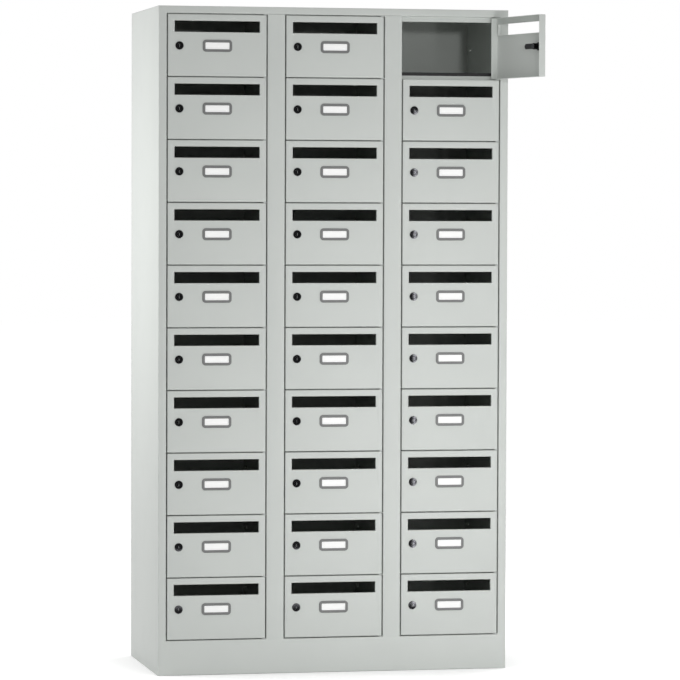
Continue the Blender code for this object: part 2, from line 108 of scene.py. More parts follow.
class SurfaceMesh:
    """Gathers patches of surface, each with its own finish, and closes them into one mesh."""

    def __init__(self) -> None:
        """Starts with no patches."""
        self.points: list[np.ndarray] = []
        self.folds: list[np.ndarray] = []
        self.faces: list[list[int]] = []
        self.finishes: list[int] = []
        self.count = 0

    def add(
        self, points: np.ndarray, faces: np.ndarray, fold: np.ndarray | float = 0.0, finish: int = 0
    ) -> None:
        """Takes in one patch.

        Args:
            points: Corner points, one row each.
            faces: Rows of point numbers within the patch.
            fold: How much of a fold each point lies on, from 0 to 1.
            finish: Number of the material on the patch.
        """
        self.points.append(points)
        self.folds.append(np.broadcast_to(fold, len(points)))
        self.faces.extend((faces + self.count).tolist())
        self.finishes.extend([finish] * len(faces))
        self.count += len(points)

    def add_loft(
        self, loops: np.ndarray, closed: bool, fold: np.ndarray | float = 0.0, finish: int = 0
    ) -> None:
        """Takes in the surface between neighbouring loops.

        Args:
            loops: Points by loop and by place round the loop.
            closed: Whether the last loop joins the first.
            fold: How much of a fold each loop lies on, from 0 to 1.
            finish: Number of the material on the surface.
        """
        count, sides = loops.shape[:2]
        folds = np.repeat(np.broadcast_to(fold, count), sides)
        self.add(loops.reshape(-1, 3), loft_faces(count, sides, closed), folds, finish)

    def add_solid(self, loops: np.ndarray, finish: int = 0) -> None:
        """Takes in a solid lofted through loops, with a flat face in its first and its last loop.

        Args:
            loops: Points by loop and by place round the loop.
            finish: Number of the material on the solid.
        """
        self.add_loft(loops, closed=False, finish=finish)
        for end in (loops[0], loops[-1]):
            self.add(end, one_face(end), finish=finish)

    def mesh(self, name: str) -> bpy.types.Mesh:
        """Welds the patches and turns their faces outwards.

        Args:
            name: Name of the mesh.

        Returns:
            A mesh with smooth folds and sharp edges.
        """
        mesh = bpy.data.meshes.new(name)
        mesh.from_pydata(np.concatenate(self.points), [], self.faces)
        mesh.polygons.foreach_set("material_index", self.finishes)
        fold = mesh.attributes.new(FOLD_ATTRIBUTE, "FLOAT", "POINT")
        fold.data.foreach_set("value", np.concatenate(self.folds))
        shape = bmesh.new()
        shape.from_mesh(mesh)
        bmesh.ops.remove_doubles(shape, verts=shape.verts, dist=WELD)
        bmesh.ops.dissolve_degenerate(shape, edges=shape.edges, dist=WELD)
        bmesh.ops.recalc_face_normals(shape, faces=shape.faces)
        shape.to_mesh(mesh)
        shape.free()
        mesh.shade_smooth()
        mesh.set_sharp_from_angle(angle=SHARP_ANGLE)
        return mesh


def set_across(flat: np.ndarray, place: np.ndarray | float, axis: int) -> np.ndarray:
    """Sets points of a plane at a place along the axis that crosses it.

    Args:
        flat: Two coordinates of each point in the plane.
        place: Coordinate along the axis, for all points or for each.
        axis: 0 for X, 1 for Y, 2 for Z.

    Returns:
        Points with three coordinates.
    """
    parts = [flat[..., 0], flat[..., 1]]
    parts.insert(axis, np.broadcast_to(place, flat.shape[:-1]))
    return np.stack(parts, axis=-1)


def in_door_plane(loop: np.ndarray, depth: np.ndarray | float) -> np.ndarray:
    """Points of a loop in X and Z, set at a depth along Y."""
    return set_across(loop, depth, 1)


def rounded_path(
    corners: np.ndarray, radius: float, sheet: float
) -> tuple[np.ndarray, np.ndarray, np.ndarray]:
    """Follows corner points, with an arc in place of each corner.

    An arc starts before its corner by its radius times the tangent of half the turn. At angle a it
    lies at the start plus radius times (sine of a along the leg, one minus cosine of a across it).
    The side of the sheet that is outside a fold takes the thickness on top of the inner radius.

    Args:
        corners: Corner points of the path, in a plane.
        radius: Inner radius of each fold.
        sheet: Thickness to the right of travel, or to the left where negative.

    Returns:
        Points, unit normals to the right of travel, and the fold weight of each point.
    """
    legs = np.diff(corners, axis=0)
    heading = legs / np.linalg.norm(legs, axis=1, keepdims=True)
    before, after = heading[:-1], heading[1:]
    cross = before[:, 0] * after[:, 1] - before[:, 1] * after[:, 0]
    turn = np.arctan2(cross, np.sum(before * after, axis=1))
    bend = radius + np.where(np.sign(turn) * sheet < 0, abs(sheet), 0.0)
    share = np.linspace(0.0, 1.0, FOLD_STEPS + 1)
    angle = np.abs(turn)[:, None] * share
    across = np.stack([-before[:, 1], before[:, 0]], axis=1) * np.sign(turn)[:, None]
    start = corners[1:-1] - before * (bend * np.tan(np.abs(turn) / 2))[:, None]
    sine, cosine = np.sin(angle)[..., None], np.cos(angle)[..., None]
    reach = sine * before[:, None] + (1 - cosine) * across[:, None]
    arcs = start[:, None] + bend[:, None, None] * reach
    along = cosine * before[:, None] + sine * across[:, None]
    points = np.concatenate([corners[:1], arcs.reshape(-1, 2), corners[-1:]])
    headings = np.concatenate([heading[:1], along.reshape(-1, 2), heading[-1:]])
    normals = np.stack([headings[:, 1], -headings[:, 0]], axis=1)
    weight = np.tile(np.sin(np.pi * share), len(bend))
    return points, normals, np.concatenate([[0.0], weight, [0.0]])


def sheet_shell(
    front: np.ndarray, back: np.ndarray, solid: np.ndarray
) -> tuple[np.ndarray, np.ndarray, np.ndarray]:
    """Closes a sheet between two equal grids of points, with walls along every open edge.

    Args:
        front: Grid of points on one side of the sheet.
        back: The same grid on the other side.
        solid: True for each cell of the grid that has material.

    Returns:
        The points in use, the faces as rows of four, and the places of those points in the
        two grids.
    """
    near = np.arange(solid.shape[0] * solid.shape[1] + sum(solid.shape) + 1)
    near = near.reshape(solid.shape[0] + 1, solid.shape[1] + 1)
    far = near + near.size
    row, column = np.nonzero(solid)
    corners = ((row, column), (row + 1, column), (row + 1, column + 1), (row, column + 1))
    near_faces = np.stack([near[corner] for corner in corners], axis=1)
    edged = np.pad(solid.astype(int), 1)
    row, column = np.nonzero(np.diff(edged[:, 1:-1], axis=0))
    ends = np.stack(
        [near[row, column], near[row, column + 1], far[row, column + 1], far[row, column]], axis=1
    )
    row, column = np.nonzero(np.diff(edged[1:-1], axis=1))
    sides = np.stack(
        [near[row, column], near[row + 1, column], far[row + 1, column], far[row, column]], axis=1
    )
    faces = np.concatenate([near_faces, near_faces[:, ::-1] + near.size, ends, sides])
    used, faces = np.unique(faces, return_inverse=True)
    points = np.concatenate([front.reshape(-1, 3), back.reshape(-1, 3)])
    return points[used], faces.reshape(-1, 4), used


def rounded_loop(
    width: float, height: float, radius: float, steps: int = CORNER_STEPS
) -> np.ndarray:
    """A closed rectangle about the origin whose corners are quarter circles.

    Args:
        width: Size along the first coordinate.
        height: Size along the second coordinate.
        radius: Corner radius; 0 gives sharp corners with their points together.
        steps: Steps in each corner.

    Returns:
        Points in order round the loop.
    """
    signs = np.array([(1, 1), (-1, 1), (-1, -1), (1, -1)])
    centres = signs * (np.array([width, height]) / 2 - radius)
    angle = (np.arange(4)[:, None] + np.linspace(0.0, 1.0, steps + 1)) * np.pi / 2
    arcs = radius * np.stack([np.cos(angle), np.sin(angle)], axis=-1)
    return (centres[:, None] + arcs).reshape(-1, 2)


def round_angles(sides: int) -> np.ndarray:
    """Equal steps of angle round a circle."""
    return np.arange(sides) * 2 * np.pi / sides


def quarter_turn(steps: int = FOLD_STEPS) -> np.ndarray:
    """Equal steps of angle from 0 to a quarter turn."""
    return np.linspace(0.0, np.pi / 2, steps + 1)


def polar_loop(radius: np.ndarray | float, sides: int = ROUND_SIDES) -> np.ndarray:
    """A closed loop about the origin from its radius at equal steps of angle."""
    angle = round_angles(sides)
    return np.stack([radius * np.cos(angle), radius * np.sin(angle)], axis=1)


def hexagon_radius(flat: float) -> np.ndarray:
    """Radius of a hexagon round its middle: half its width over the cosine from the next flat."""
    from_flat = np.mod(round_angles(ROUND_SIDES), np.pi / 3) - np.pi / 6
    return flat / np.cos(from_flat)


def capsule_loop(length: float, width: float) -> np.ndarray:
    """A lever's outline: half circles round the origin and round a point further along X.

    Args:
        length: Distance from the origin to the tip.
        width: Width of the lever.

    Returns:
        Points in order round the loop.
    """
    half = width / 2
    angle = np.linspace(-np.pi / 2, np.pi / 2, 2 * CORNER_STEPS + 1)
    tip = np.stack([length - half + half * np.cos(angle), half * np.sin(angle)], axis=1)
    root = np.stack([-half * np.cos(angle), -half * np.sin(angle)], axis=1)
    return np.concatenate([tip, root])


def loft_faces(loops: int, sides: int, closed: bool) -> np.ndarray:
    """Faces between neighbouring loops of equal point counts.

    Args:
        loops: Number of loops.
        sides: Points in each loop.
        closed: Whether the last loop joins the first.

    Returns:
        Faces as rows of four.
    """
    ring = sides * np.arange(loops if closed else loops - 1)[:, None]
    following = (ring + sides) % (loops * sides)
    step = np.arange(sides)
    beside = (step + 1) % sides
    corners = [ring + step, following + step, following + beside, ring + beside]
    return np.stack(corners, axis=-1).reshape(-1, 4)


def turned_head(place: Place, axis: int, side: float, profile: np.ndarray) -> np.ndarray:
    """A rivet or screw head: a profile of radii and rises that is carried round an axis.

    Args:
        place: Middle of the head's foot.
        axis: 0 for a head along X, 1 along Y.
        side: 1 for a head that rises along the axis, -1 against it.
        profile: Radius and rise of each point, from the foot's middle to the top's middle.

    Returns:
        Points by loop and by place round the loop.
    """
    loops = profile[:, 0, None, None] * polar_loop(1.0, HEAD_SIDES)
    return set_across(loops, side * profile[:, 1, None], axis) + np.array(place)


def smooth_field(place: np.ndarray, edges: list[tuple[float, float]], ramp: float) -> np.ndarray:
    """1 between pairs of edges and 0 outside, with ramps of 3 s squared minus 2 s cubed.

    Args:
        place: Places along a line.
        edges: Start and end of each field.
        ramp: Width of the ramps, over which s goes from 0 to 1.

    Returns:
        The share at each place.
    """
    share = np.clip((place[:, None] - np.array(edges).reshape(-1)) / ramp + 0.5, 0.0, 1.0)
    steps = share**2 * (3 - 2 * share)
    return np.sum(steps[:, ::2] - steps[:, 1::2], axis=1)


def field_stations(
    low: float, high: float, edges: list[tuple[float, float]], ramp: float
) -> np.ndarray:
    """The two ends of a line, and places close together across each ramp between them."""
    across = np.array(edges).reshape(-1, 1) + np.linspace(-ramp / 2, ramp / 2, FOLD_STEPS + 1)
    return np.concatenate([[low], np.sort(across.reshape(-1)), [high]])


def one_face(loop: np.ndarray) -> np.ndarray:
    """The single face inside a flat convex loop."""
    return np.arange(len(loop))[None, :]


@dataclass(frozen=True)
class FoldedSheet:
    """A sheet folded along a path and drawn out straight along X or Z.

    Attributes:
        corners: Corner points of the path, in the two other axes.
        sheet: Thickness to the right of travel, or to the left where negative.
        stations: Places along the axis; the cells between them may be cut away.
        axis: 0 to draw the sheet out along X, 2 along Z.
        fold: Inner radius of the folds.
        full_from: Corner from which the outermost cells have material too.
    """

    corners: list[tuple[float, float]]
    sheet: float
    stations: list[float]
    axis: int
    fold: float = 0.001
    full_from: int = 0

    def add_to(self, surface: SurfaceMesh) -> None:
        """Puts the sheet into a mesh; the outer cells have material only from a corner on.

        Args:
            surface: Mesh that takes the sheet.
        """
        path, normal, weight = rounded_path(np.array(self.corners), self.fold, self.sheet)
        grids = [self.spread(path), self.spread(path + normal * self.sheet)]
        solid = np.ones((len(path) - 1, len(self.stations) - 1), dtype=bool)
        if self.full_from:
            start = 1 + (self.full_from - 1) * (FOLD_STEPS + 1)
            solid[:start, [0, -1]] = False
        points, faces, used = sheet_shell(*grids, solid)
        folds = np.tile(np.repeat(weight, len(self.stations)), 2)
        surface.add(points, faces, folds[used])

    def spread(self, path: np.ndarray) -> np.ndarray:
        """Repeats the path at every station along the axis."""
        grid = np.repeat(path[:, None], len(self.stations), axis=1)
        return set_across(grid, np.array(self.stations), self.axis)


# Finishes


class NodeSheet:
    """A node tree with short calls to place nodes and join them."""

    def __init__(self, tree: bpy.types.NodeTree) -> None:
        """Keeps the tree and the number of nodes placed."""
        self.tree = tree
        self.placed = 0

    @classmethod
    def cleared(cls, owner: bpy.types.Material | bpy.types.World) -> "NodeSheet":
        """Starts the nodes of a material or world afresh.

        Args:
            owner: The material or world.

        Returns:
            Its empty node tree.
        """
        owner.use_nodes = True
        owner.node_tree.nodes.clear()
        return cls(owner.node_tree)

    def node(
        self, kind: str, settings: dict[str, Any] | None = None, **inputs: Any
    ) -> bpy.types.Node:
        """Places a node.

        Args:
            kind: Type of the node.
            settings: Properties to set on it.
            inputs: Values or sockets for its inputs; a number at a name's end picks an input by
                its place.

        Returns:
            The node.
        """
        node = self.tree.nodes.new(kind)
        row, column = divmod(self.placed, NODES_PER_ROW)
        node.location = (NODE_SPACING[0] * column, -NODE_SPACING[1] * row)
        self.placed += 1
        for name, value in (settings or {}).items():
            setattr(node, name, value)
        for name, value in inputs.items():
            key = int(name[1:]) if name[1:].isdigit() else name.replace("_", " ")
            if isinstance(value, bpy.types.NodeSocket):
                self.tree.links.new(value, node.inputs[key])
            else:
                node.inputs[key].default_value = value
        return node

    def math(self, operation: str, first: Any, second: Any = 0.0) -> bpy.types.NodeSocket:
        """The result of a sum on two values or sockets."""
        return self.node("ShaderNodeMath", {"operation": operation}, i0=first, i1=second).outputs[0]

    def span(self, value: bpy.types.NodeSocket, low: float, high: float) -> bpy.types.NodeSocket:
        """A value from 0 to 1, spread between two limits."""
        return self.node("ShaderNodeMapRange", Value=value, To_Min=low, To_Max=high).outputs[0]

    def blend(self, share: bpy.types.NodeSocket, first: Any, second: Any) -> bpy.types.NodeSocket:
        """A colour between two colours or sockets."""
        mix = self.node("ShaderNodeMix", {"data_type": "RGBA"}, i0=share, i6=first, i7=second)
        return mix.outputs[2]


class EffectGroup(Enum):
    """Surface effects that several finishes share, each a node group."""

    GRAIN = "coat_grain"
    WEAR = "fold_wear"
    MARKS = "handling_marks"

    def tree(self) -> bpy.types.NodeTree:
        """The group, built on its first use."""
        known = bpy.data.node_groups.get(self.value)
        return known or self.build()

    def build(self) -> bpy.types.NodeTree:
        """Makes the group's sockets and nodes.

        Returns:
            The new node group.
        """
        plan = EFFECT_PLANS[self]
        tree = bpy.data.node_groups.new(self.value, "ShaderNodeTree")
        tree.interface.new_socket("Vector", in_out="INPUT", socket_type="NodeSocketVector")
        for name in plan.wanted:
            tree.interface.new_socket(name, in_out="INPUT", socket_type="NodeSocketFloat")
        for name in plan.given:
            tree.interface.new_socket(name, in_out="OUTPUT", socket_type="NodeSocketFloat")
        sheet = NodeSheet(tree)
        results = plan.nodes(sheet, sheet.node("NodeGroupInput").outputs)
        sink = sheet.node("NodeGroupOutput")
        for name, socket in zip(plan.given, results):
            tree.links.new(socket, sink.inputs[name])
        return tree

    def place(self, sheet: NodeSheet, **inputs: Any) -> bpy.types.bpy_prop_collection:
        """Places the group in a material and returns its outputs."""
        return sheet.node("ShaderNodeGroup", {"node_tree": self.tree()}, **inputs).outputs


# Noises of the effects: scales are patches per metre, and ranges are the levels that become 0 and 1
GRAIN_DETAIL = 2.0
GRAIN_ROUGHNESS = 0.55
MOTTLE_DETAIL = 4.0
MOTTLE_ROUGHNESS = 0.5
WEAR_SCALE = 38.0
WEAR_DETAIL = 5.0
WEAR_RANGE = (0.35, 0.75)
MARKS_SCALE = 9.0
MARKS_DETAIL = 6.0
MARKS_WARP = 0.8
MARKS_RANGE = (0.52, 0.72)


def grain_effect(
    sheet: NodeSheet, source: bpy.types.bpy_prop_collection
) -> list[bpy.types.NodeSocket]:
    """Fine bumps of a sprayed or moulded skin, and a slow mottle of its tone.

    Args:
        sheet: The group's nodes.
        source: The group's inputs.

    Returns:
        Height and mottle sockets.
    """
    fine = sheet.node(
        "ShaderNodeTexNoise",
        Vector=source["Vector"],
        Scale=source["Grain Scale"],
        Detail=GRAIN_DETAIL,
        Roughness=GRAIN_ROUGHNESS,
    )
    slow = sheet.node(
        "ShaderNodeTexNoise",
        Vector=source["Vector"],
        Scale=source["Mottle Scale"],
        Detail=MOTTLE_DETAIL,
        Roughness=MOTTLE_ROUGHNESS,
    )
    return [fine.outputs[0], slow.outputs[0]]


def wear_effect(
    sheet: NodeSheet, source: bpy.types.bpy_prop_collection
) -> list[bpy.types.NodeSocket]:
    """A broken line of thinner coat along folds: the fold weight times a patchy noise.

    Args:
        sheet: The group's nodes.
        source: The group's inputs.

    Returns:
        The mask socket.
    """
    patches = sheet.node(
        "ShaderNodeTexNoise", Vector=source["Vector"], Scale=WEAR_SCALE, Detail=WEAR_DETAIL
    ).outputs[0]
    low, high = WEAR_RANGE
    spread = sheet.node("ShaderNodeMapRange", Value=patches, From_Min=low, From_Max=high).outputs[0]
    broken = sheet.math("MULTIPLY", source["Fold"], spread)
    return [sheet.math("MULTIPLY", broken, source["Amount"])]


def marks_effect(
    sheet: NodeSheet, source: bpy.types.bpy_prop_collection
) -> list[bpy.types.NodeSocket]:
    """Faint smears from hands and mail: the peaks of a warped noise.

    Args:
        sheet: The group's nodes.
        source: The group's inputs.

    Returns:
        The mask socket.
    """
    smears = sheet.node(
        "ShaderNodeTexNoise",
        Vector=source["Vector"],
        Scale=source["Scale"],
        Detail=MARKS_DETAIL,
        Distortion=MARKS_WARP,
    ).outputs[0]
    low, high = MARKS_RANGE
    peaks = sheet.node("ShaderNodeMapRange", Value=smears, From_Min=low, From_Max=high).outputs[0]
    return [sheet.math("MULTIPLY", peaks, source["Amount"])]


@dataclass(frozen=True)
class EffectPlan:
    """What a shared effect takes and gives.

    Attributes:
        wanted: Names of its inputs, after the place on the surface.
        given: Names of its outputs.
        nodes: Function that places its nodes and returns a socket for each output.
    """

    wanted: tuple[str, ...]
    given: tuple[str, ...]
    nodes: Callable[[NodeSheet, bpy.types.bpy_prop_collection], list[bpy.types.NodeSocket]]


EFFECT_PLANS = {
    EffectGroup.GRAIN: EffectPlan(
        ("Grain Scale", "Mottle Scale"), ("Height", "Mottle"), grain_effect
    ),
    EffectGroup.WEAR: EffectPlan(("Fold", "Amount"), ("Mask",), wear_effect),
    EffectGroup.MARKS: EffectPlan(("Scale", "Amount"), ("Mask",), marks_effect),
}


@dataclass(frozen=True)
class Coat:
    """A coated, plated, moulded or paper finish.

    Attributes:
        name: Name of the material.
        colour: Main colour, linear.
        shade: Colour of the darker side of its mottle.
        worn: Colour of thin coat along folds.
        roughness: Lowest and highest roughness.
        grain_scale: Bumps per metre.
        mottle_scale: Patches of tone per metre.
        bump: Strength of the bumps.
        wear: Share of wear on folds.
        marks: Share of smears.
        metallic: 1 for bare or plated metal.
        ior: Refractive index of the skin.
        bump_distance: Height of the bumps, in metres.
        glow: Painted light, added as emission so that a part shows brighter than its lamps light it.
    """

    name: str
    colour: Colour
    shade: Colour
    worn: Colour
    roughness: tuple[float, float]
    grain_scale: float
    mottle_scale: float
    bump: float
    wear: float = 0.0
    marks: float = 0.0
    metallic: float = 0.0
    ior: float = 1.45
    bump_distance: float = 0.0004
    glow: float = 0.0

    def material(self) -> bpy.types.Material:
        """The finish as a material, built once.

        Returns:
            A material with a Principled shader fed by the shared effects.
        """
        known = bpy.data.materials.get(self.name)
        if known:
            return known
        material = bpy.data.materials.new(self.name)
        sheet = NodeSheet.cleared(material)
        place = sheet.node("ShaderNodeTexCoord").outputs["Object"]
        grain = EffectGroup.GRAIN.place(
            sheet, Vector=place, Grain_Scale=self.grain_scale, Mottle_Scale=self.mottle_scale
        )
        fold = sheet.node("ShaderNodeAttribute", {"attribute_name": FOLD_ATTRIBUTE}).outputs["Fac"]
        wear = EffectGroup.WEAR.place(sheet, Vector=place, Fold=fold, Amount=self.wear)
        marks = EffectGroup.MARKS.place(sheet, Vector=place, Scale=MARKS_SCALE, Amount=self.marks)
        tone = sheet.blend(grain["Mottle"], (*self.shade, 1.0), (*self.colour, 1.0))
        colour = sheet.blend(wear["Mask"], tone, (*self.worn, 1.0))
        rough = sheet.span(grain["Mottle"], *self.roughness)
        bump = sheet.node(
            "ShaderNodeBump",
            Strength=self.bump,
            Distance=self.bump_distance,
            Height=grain["Height"],
        )
        shader = sheet.node(
            "ShaderNodeBsdfPrincipled",
            Base_Color=colour,
            Roughness=sheet.math("ADD", rough, marks["Mask"]),
            Metallic=self.metallic,
            IOR=self.ior,
            Emission_Color=WHITE,
            Emission_Strength=self.glow,
            Normal=bump.outputs[0],
        )
        sheet.node("ShaderNodeOutputMaterial", Surface=shader.outputs[0])
        return material


LIGHT_GREY = Coat(
    name="light_grey_powder_coat",
    colour=(0.640, 0.668, 0.640),
    shade=(0.585, 0.612, 0.588),
    worn=(0.74, 0.76, 0.74),
    roughness=(0.40, 0.52),
    grain_scale=950.0,
    mottle_scale=5.0,
    bump=0.10,
    wear=0.45,
    marks=0.06,
)
BLACK_NICKEL = Coat(
    name="black_nickel_plate",
    colour=(0.014, 0.014, 0.015),
    shade=(0.010, 0.010, 0.011),
    worn=(0.06, 0.06, 0.06),
    roughness=(0.05, 0.10),
    grain_scale=2600.0,
    mottle_scale=160.0,
    bump=0.05,
    wear=0.3,
    marks=0.05,
    metallic=1.0,
    bump_distance=0.0001,
)
DARK_STEEL = Coat(
    name="dark_steel",
    colour=(0.105, 0.105, 0.110),
    shade=(0.075, 0.075, 0.080),
    worn=(0.30, 0.30, 0.30),
    roughness=(0.30, 0.45),
    grain_scale=1800.0,
    mottle_scale=220.0,
    bump=0.06,
    wear=0.2,
    marks=0.08,
    metallic=1.0,
    bump_distance=0.0001,
)
BRIGHT_NICKEL = Coat(
    name="bright_nickel_plate",
    colour=(0.82, 0.81, 0.79),
    shade=(0.70, 0.69, 0.67),
    worn=(0.86, 0.85, 0.83),
    roughness=(0.10, 0.18),
    grain_scale=1800.0,
    mottle_scale=260.0,
    bump=0.04,
    marks=0.06,
    metallic=1.0,
    bump_distance=0.0001,
)
# Black rubber of the shelves' front strips: real strips, whose black is also painted shade along the
# shelves' front edges.
SHADE_BLACK_RUBBER = Coat(
    name="black_rubber",
    colour=(0.020, 0.020, 0.021),
    shade=(0.013, 0.013, 0.014),
    worn=(0.035, 0.035, 0.035),
    roughness=(0.62, 0.78),
    grain_scale=2200.0,
    mottle_scale=60.0,
    bump=0.14,
    marks=0.05,
    bump_distance=0.0001,
)
GREY_PLASTIC = Coat(
    name="dark_grey_plastic",
    colour=(0.190, 0.194, 0.192),
    shade=(0.158, 0.162, 0.160),
    worn=(0.21, 0.21, 0.21),
    roughness=(0.42, 0.55),
    grain_scale=3200.0,
    mottle_scale=90.0,
    bump=0.10,
    wear=0.35,
    marks=0.05,
    bump_distance=0.0001,
)
# Painted light: the card glows so that it shows whiter than its lamps light it.
WHITE_CARD = Coat(
    name="white_card",
    colour=(0.97, 0.97, 0.96),
    shade=(0.94, 0.94, 0.93),
    worn=(0.97, 0.97, 0.96),
    roughness=(0.78, 0.9),
    grain_scale=1500.0,
    mottle_scale=400.0,
    bump=0.12,
    bump_distance=0.0001,
    glow=0.13,
)


# Pieces


def link_new(name: str, data: bpy.types.ID) -> bpy.types.Object:
    """Makes an object and links it to the scene.

    Args:
        name: Name of the object.
        data: Its mesh, lamp or camera.

    Returns:
        The object.
    """
    thing = bpy.data.objects.new(name, data)
    bpy.context.scene.collection.objects.link(thing)
    return thing


def show(
    name: str, mesh: bpy.types.Mesh, coats: list[Coat], body: str, slot: Slot, nodes: list[str]
) -> bpy.types.Object:
    """Links a finished piece, rides it on its body and lets it stand for its CAD nodes.

    Args:
        name: Name of the piece.
        mesh: Its mesh, in place.
        coats: Finishes in the order of the mesh's material numbers.
        body: CAD body that carries it.
        slot: Material slot of the record; not used.
        nodes: CAD nodes that it replaces.

    Returns:
        The piece.
    """
    for coat in coats:
        mesh.materials.append(coat.material())
    piece = link_new(name, mesh)
    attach(piece, body)
    if nodes:
        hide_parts(*nodes)
    LOG.info("%s: %d faces on %s", name, len(mesh.polygons), body)
    return piece


# Cabinet body

# Shares of a rivet's radius and rise, from its foot to the hollow where its pin broke off
RIVET_SHARES = (
    (0.0, -0.3),
    (1.0, -0.3),
    (1.0, 0.1),
    (0.92, 0.6),
    (0.7, 0.95),
    (0.4, 1.0),
    (0.3, 0.8),
    (0.0, 0.5),
)


@dataclass(frozen=True)
class CabinetBody:
    """The fixed panels: folded sheets placed by the boxes of their CAD nodes.

    Attributes:
        body: CAD body of all panels.
        sheet: Thickness of the folded sheets.
        seat: Gap between sheets that lie on each other.
        seam: How far rail, plinth and posts reach over the folds that they are welded to.
        stile: Width of the side panels' front stiles.
        post: Width of the posts between the columns.
        fold_back: Depth of the returns behind stiles and plinth.
        rear_return: Width of the side panels' returns at the back.
        lip_drop: Height of the stop lips.
        rows: Doors in a column.
        lug_reach: Distance from a lug's eye to its root.
        lug_eye: Radius of a lug's eye.
        lug_wall: Material round the eye.
        lug_thickness: Thickness of a lug.
        field_border: Flat border round the fields pressed into the back.
        field_ramp: Width of the fields' sloped edges.
        field_depth: Depth of the fields.
        back_sheet: Thickness of the back panel.
        rivet_rise: Height of a rivet's head.
        rivet_radius: Radius of a rivet's head.
        rivet_inset: Distance of the outer rivets from the back panel's sides.
        rivet_levels: Rivets in each line.
        screw_radius: Radius of the screw heads on the compartments' walls.
        screw_rise: Height of those heads.
        screw_depth: Their place along Y.
        screw_height: Their height above the compartment's floor.
        shade_strip_height: Height of the black rubber strips on the shelves' front edges; their
            black is partly painted shade along those edges.
        shade_strip_thickness: Thickness of those strips.
        shade_strip_edge: Radius of their edges.
    """

    body: str = "cabinet"
    sheet: float = 0.001
    seat: float = 0.0003
    seam: float = 0.0023
    stile: float = 0.0225
    post: float = 0.049
    fold_back: float = 0.020
    rear_return: float = 0.020
    lip_drop: float = 0.023
    rows: int = 10
    lug_reach: float = 0.009
    lug_eye: float = 0.0024
    lug_wall: float = 0.0015
    lug_thickness: float = 0.0015
    field_border: float = 0.034
    field_ramp: float = 0.006
    field_depth: float = 0.0009
    back_sheet: float = 0.0007
    rivet_rise: float = 0.0005
    rivet_radius: float = 0.0038
    rivet_inset: float = 0.011
    rivet_levels: int = 11
    screw_radius: float = 0.0060
    screw_rise: float = 0.0052
    screw_depth: float = 0.414
    screw_height: float = 0.089
    shade_strip_height: float = 0.009
    shade_strip_thickness: float = 0.003
    shade_strip_edge: float = 0.0008

    def build(self, lug_places: dict[Column, list[Place]]) -> None:
        """Builds every panel.

        Args:
            lug_places: Middle of each lug's eye, by column.
        """
        self.side_panel(Column.LEFT, [])
        self.side_panel(Column.RIGHT, lug_places[Column.RIGHT])
        self.back_panel()
        self.top_panel()
        self.plinth()
        self.floor()
        for column, hinged in ((Column.LEFT, Column.LEFT), (Column.RIGHT, Column.MIDDLE)):
            self.front_post(column, lug_places[hinged])
            self.partition(column)
        for column in Column:
            self.shelf_rack(column)

    def keep(self, node: str, surface: SurfaceMesh, *more: Coat) -> None:
        """Shows a panel, painted and with any more finishes, in place of its CAD node."""
        coats = [LIGHT_GREY, *more]
        show(f"{node}_sheet", surface.mesh(node), coats, self.body, Slot.PAINT, [node])

    def side_panel(self, column: Column, eyes: list[Place]) -> None:
        """A side wall folded into its front stile and its rear return.

        Args:
            column: The side on which it stands.
            eyes: Middles of the hinge lugs on its stile.
        """
        node = f"{column.value}_side_panel"
        low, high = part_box(node)
        side = -1.0 if column is Column.LEFT else 1.0
        wall = low[0] if side < 0 else high[0]
        stile = wall - side * self.stile
        corners = [
            (wall - side * self.rear_return, high[1]),
            (wall, high[1]),
            (wall, low[1]),
            (stile, low[1]),
            (stile, low[1] + self.fold_back),
        ]
        surface = SurfaceMesh()
        FoldedSheet(corners, side * self.sheet, [low[2], high[2]], axis=2).add_to(surface)
        self.add_lugs(surface, eyes)
        self.keep(node, surface)

    def back_panel(self) -> None:
        """The rear sheet: a shallow pressed field behind each column and rivets along its seams.

        At a place in X and Z the sheet lies deeper by the field's depth times the share of a field
        along X times the share along Z. A slope's weight is four times the share times (1 minus
        the share).
        """
        low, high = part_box("back_panel")
        columns = (Column.LEFT, Column.RIGHT)
        seams = [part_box(f"{column.value}_partition")[0][0] for column in columns]
        seams = [low[0] + self.rivet_inset, *seams, high[0] - self.rivet_inset]
        border = self.field_border
        across = [(start + border, end - border) for start, end in zip(seams[:-1], seams[1:])]
        upright = [(low[2] + 2 * border, high[2] - border)]
        along = field_stations(low[0], high[0], across, self.field_ramp)
        height = field_stations(low[2], high[2], upright, self.field_ramp)
        share = np.outer(
            smooth_field(along, across, self.field_ramp),
            smooth_field(height, upright, self.field_ramp),
        )
        flat = np.stack(np.meshgrid(along, height, indexing="ij"), axis=-1)
        outer = high[1] - self.rivet_rise - self.field_depth * share
        grids = [in_door_plane(flat, outer - inset) for inset in (0.0, self.back_sheet)]
        solid = np.ones((len(along) - 1, len(height) - 1), dtype=bool)
        points, faces, used = sheet_shell(*grids, solid)
        surface = SurfaceMesh()
        slope = 4 * share * (1 - share)
        surface.add(points, faces, np.tile(slope.reshape(-1), 2)[used])
        self.add_rivets(
            surface, seams, high[1] - self.rivet_rise, low[2] + border, high[2] - border / 2
        )
        self.keep("back_panel", surface)

    def add_rivets(
        self, surface: SurfaceMesh, seams: list[float], face: float, bottom: float, top: float
    ) -> None:
        """Adds lines of flat rivets with a hollow where their pin broke off.

        Args:
            surface: Mesh that takes the rivets.
            seams: Places of the lines along X.
            face: Depth of the sheet's outer face.
            bottom: Height of the lowest rivets.
            top: Height of the highest rivets.
        """
        profile = np.array(RIVET_SHARES) * np.array([self.rivet_radius, self.rivet_rise])
        for level in np.linspace(bottom, top, self.rivet_levels):
            for seam in seams:
                surface.add_loft(turned_head((seam, face, level), 1, 1.0, profile), closed=False)

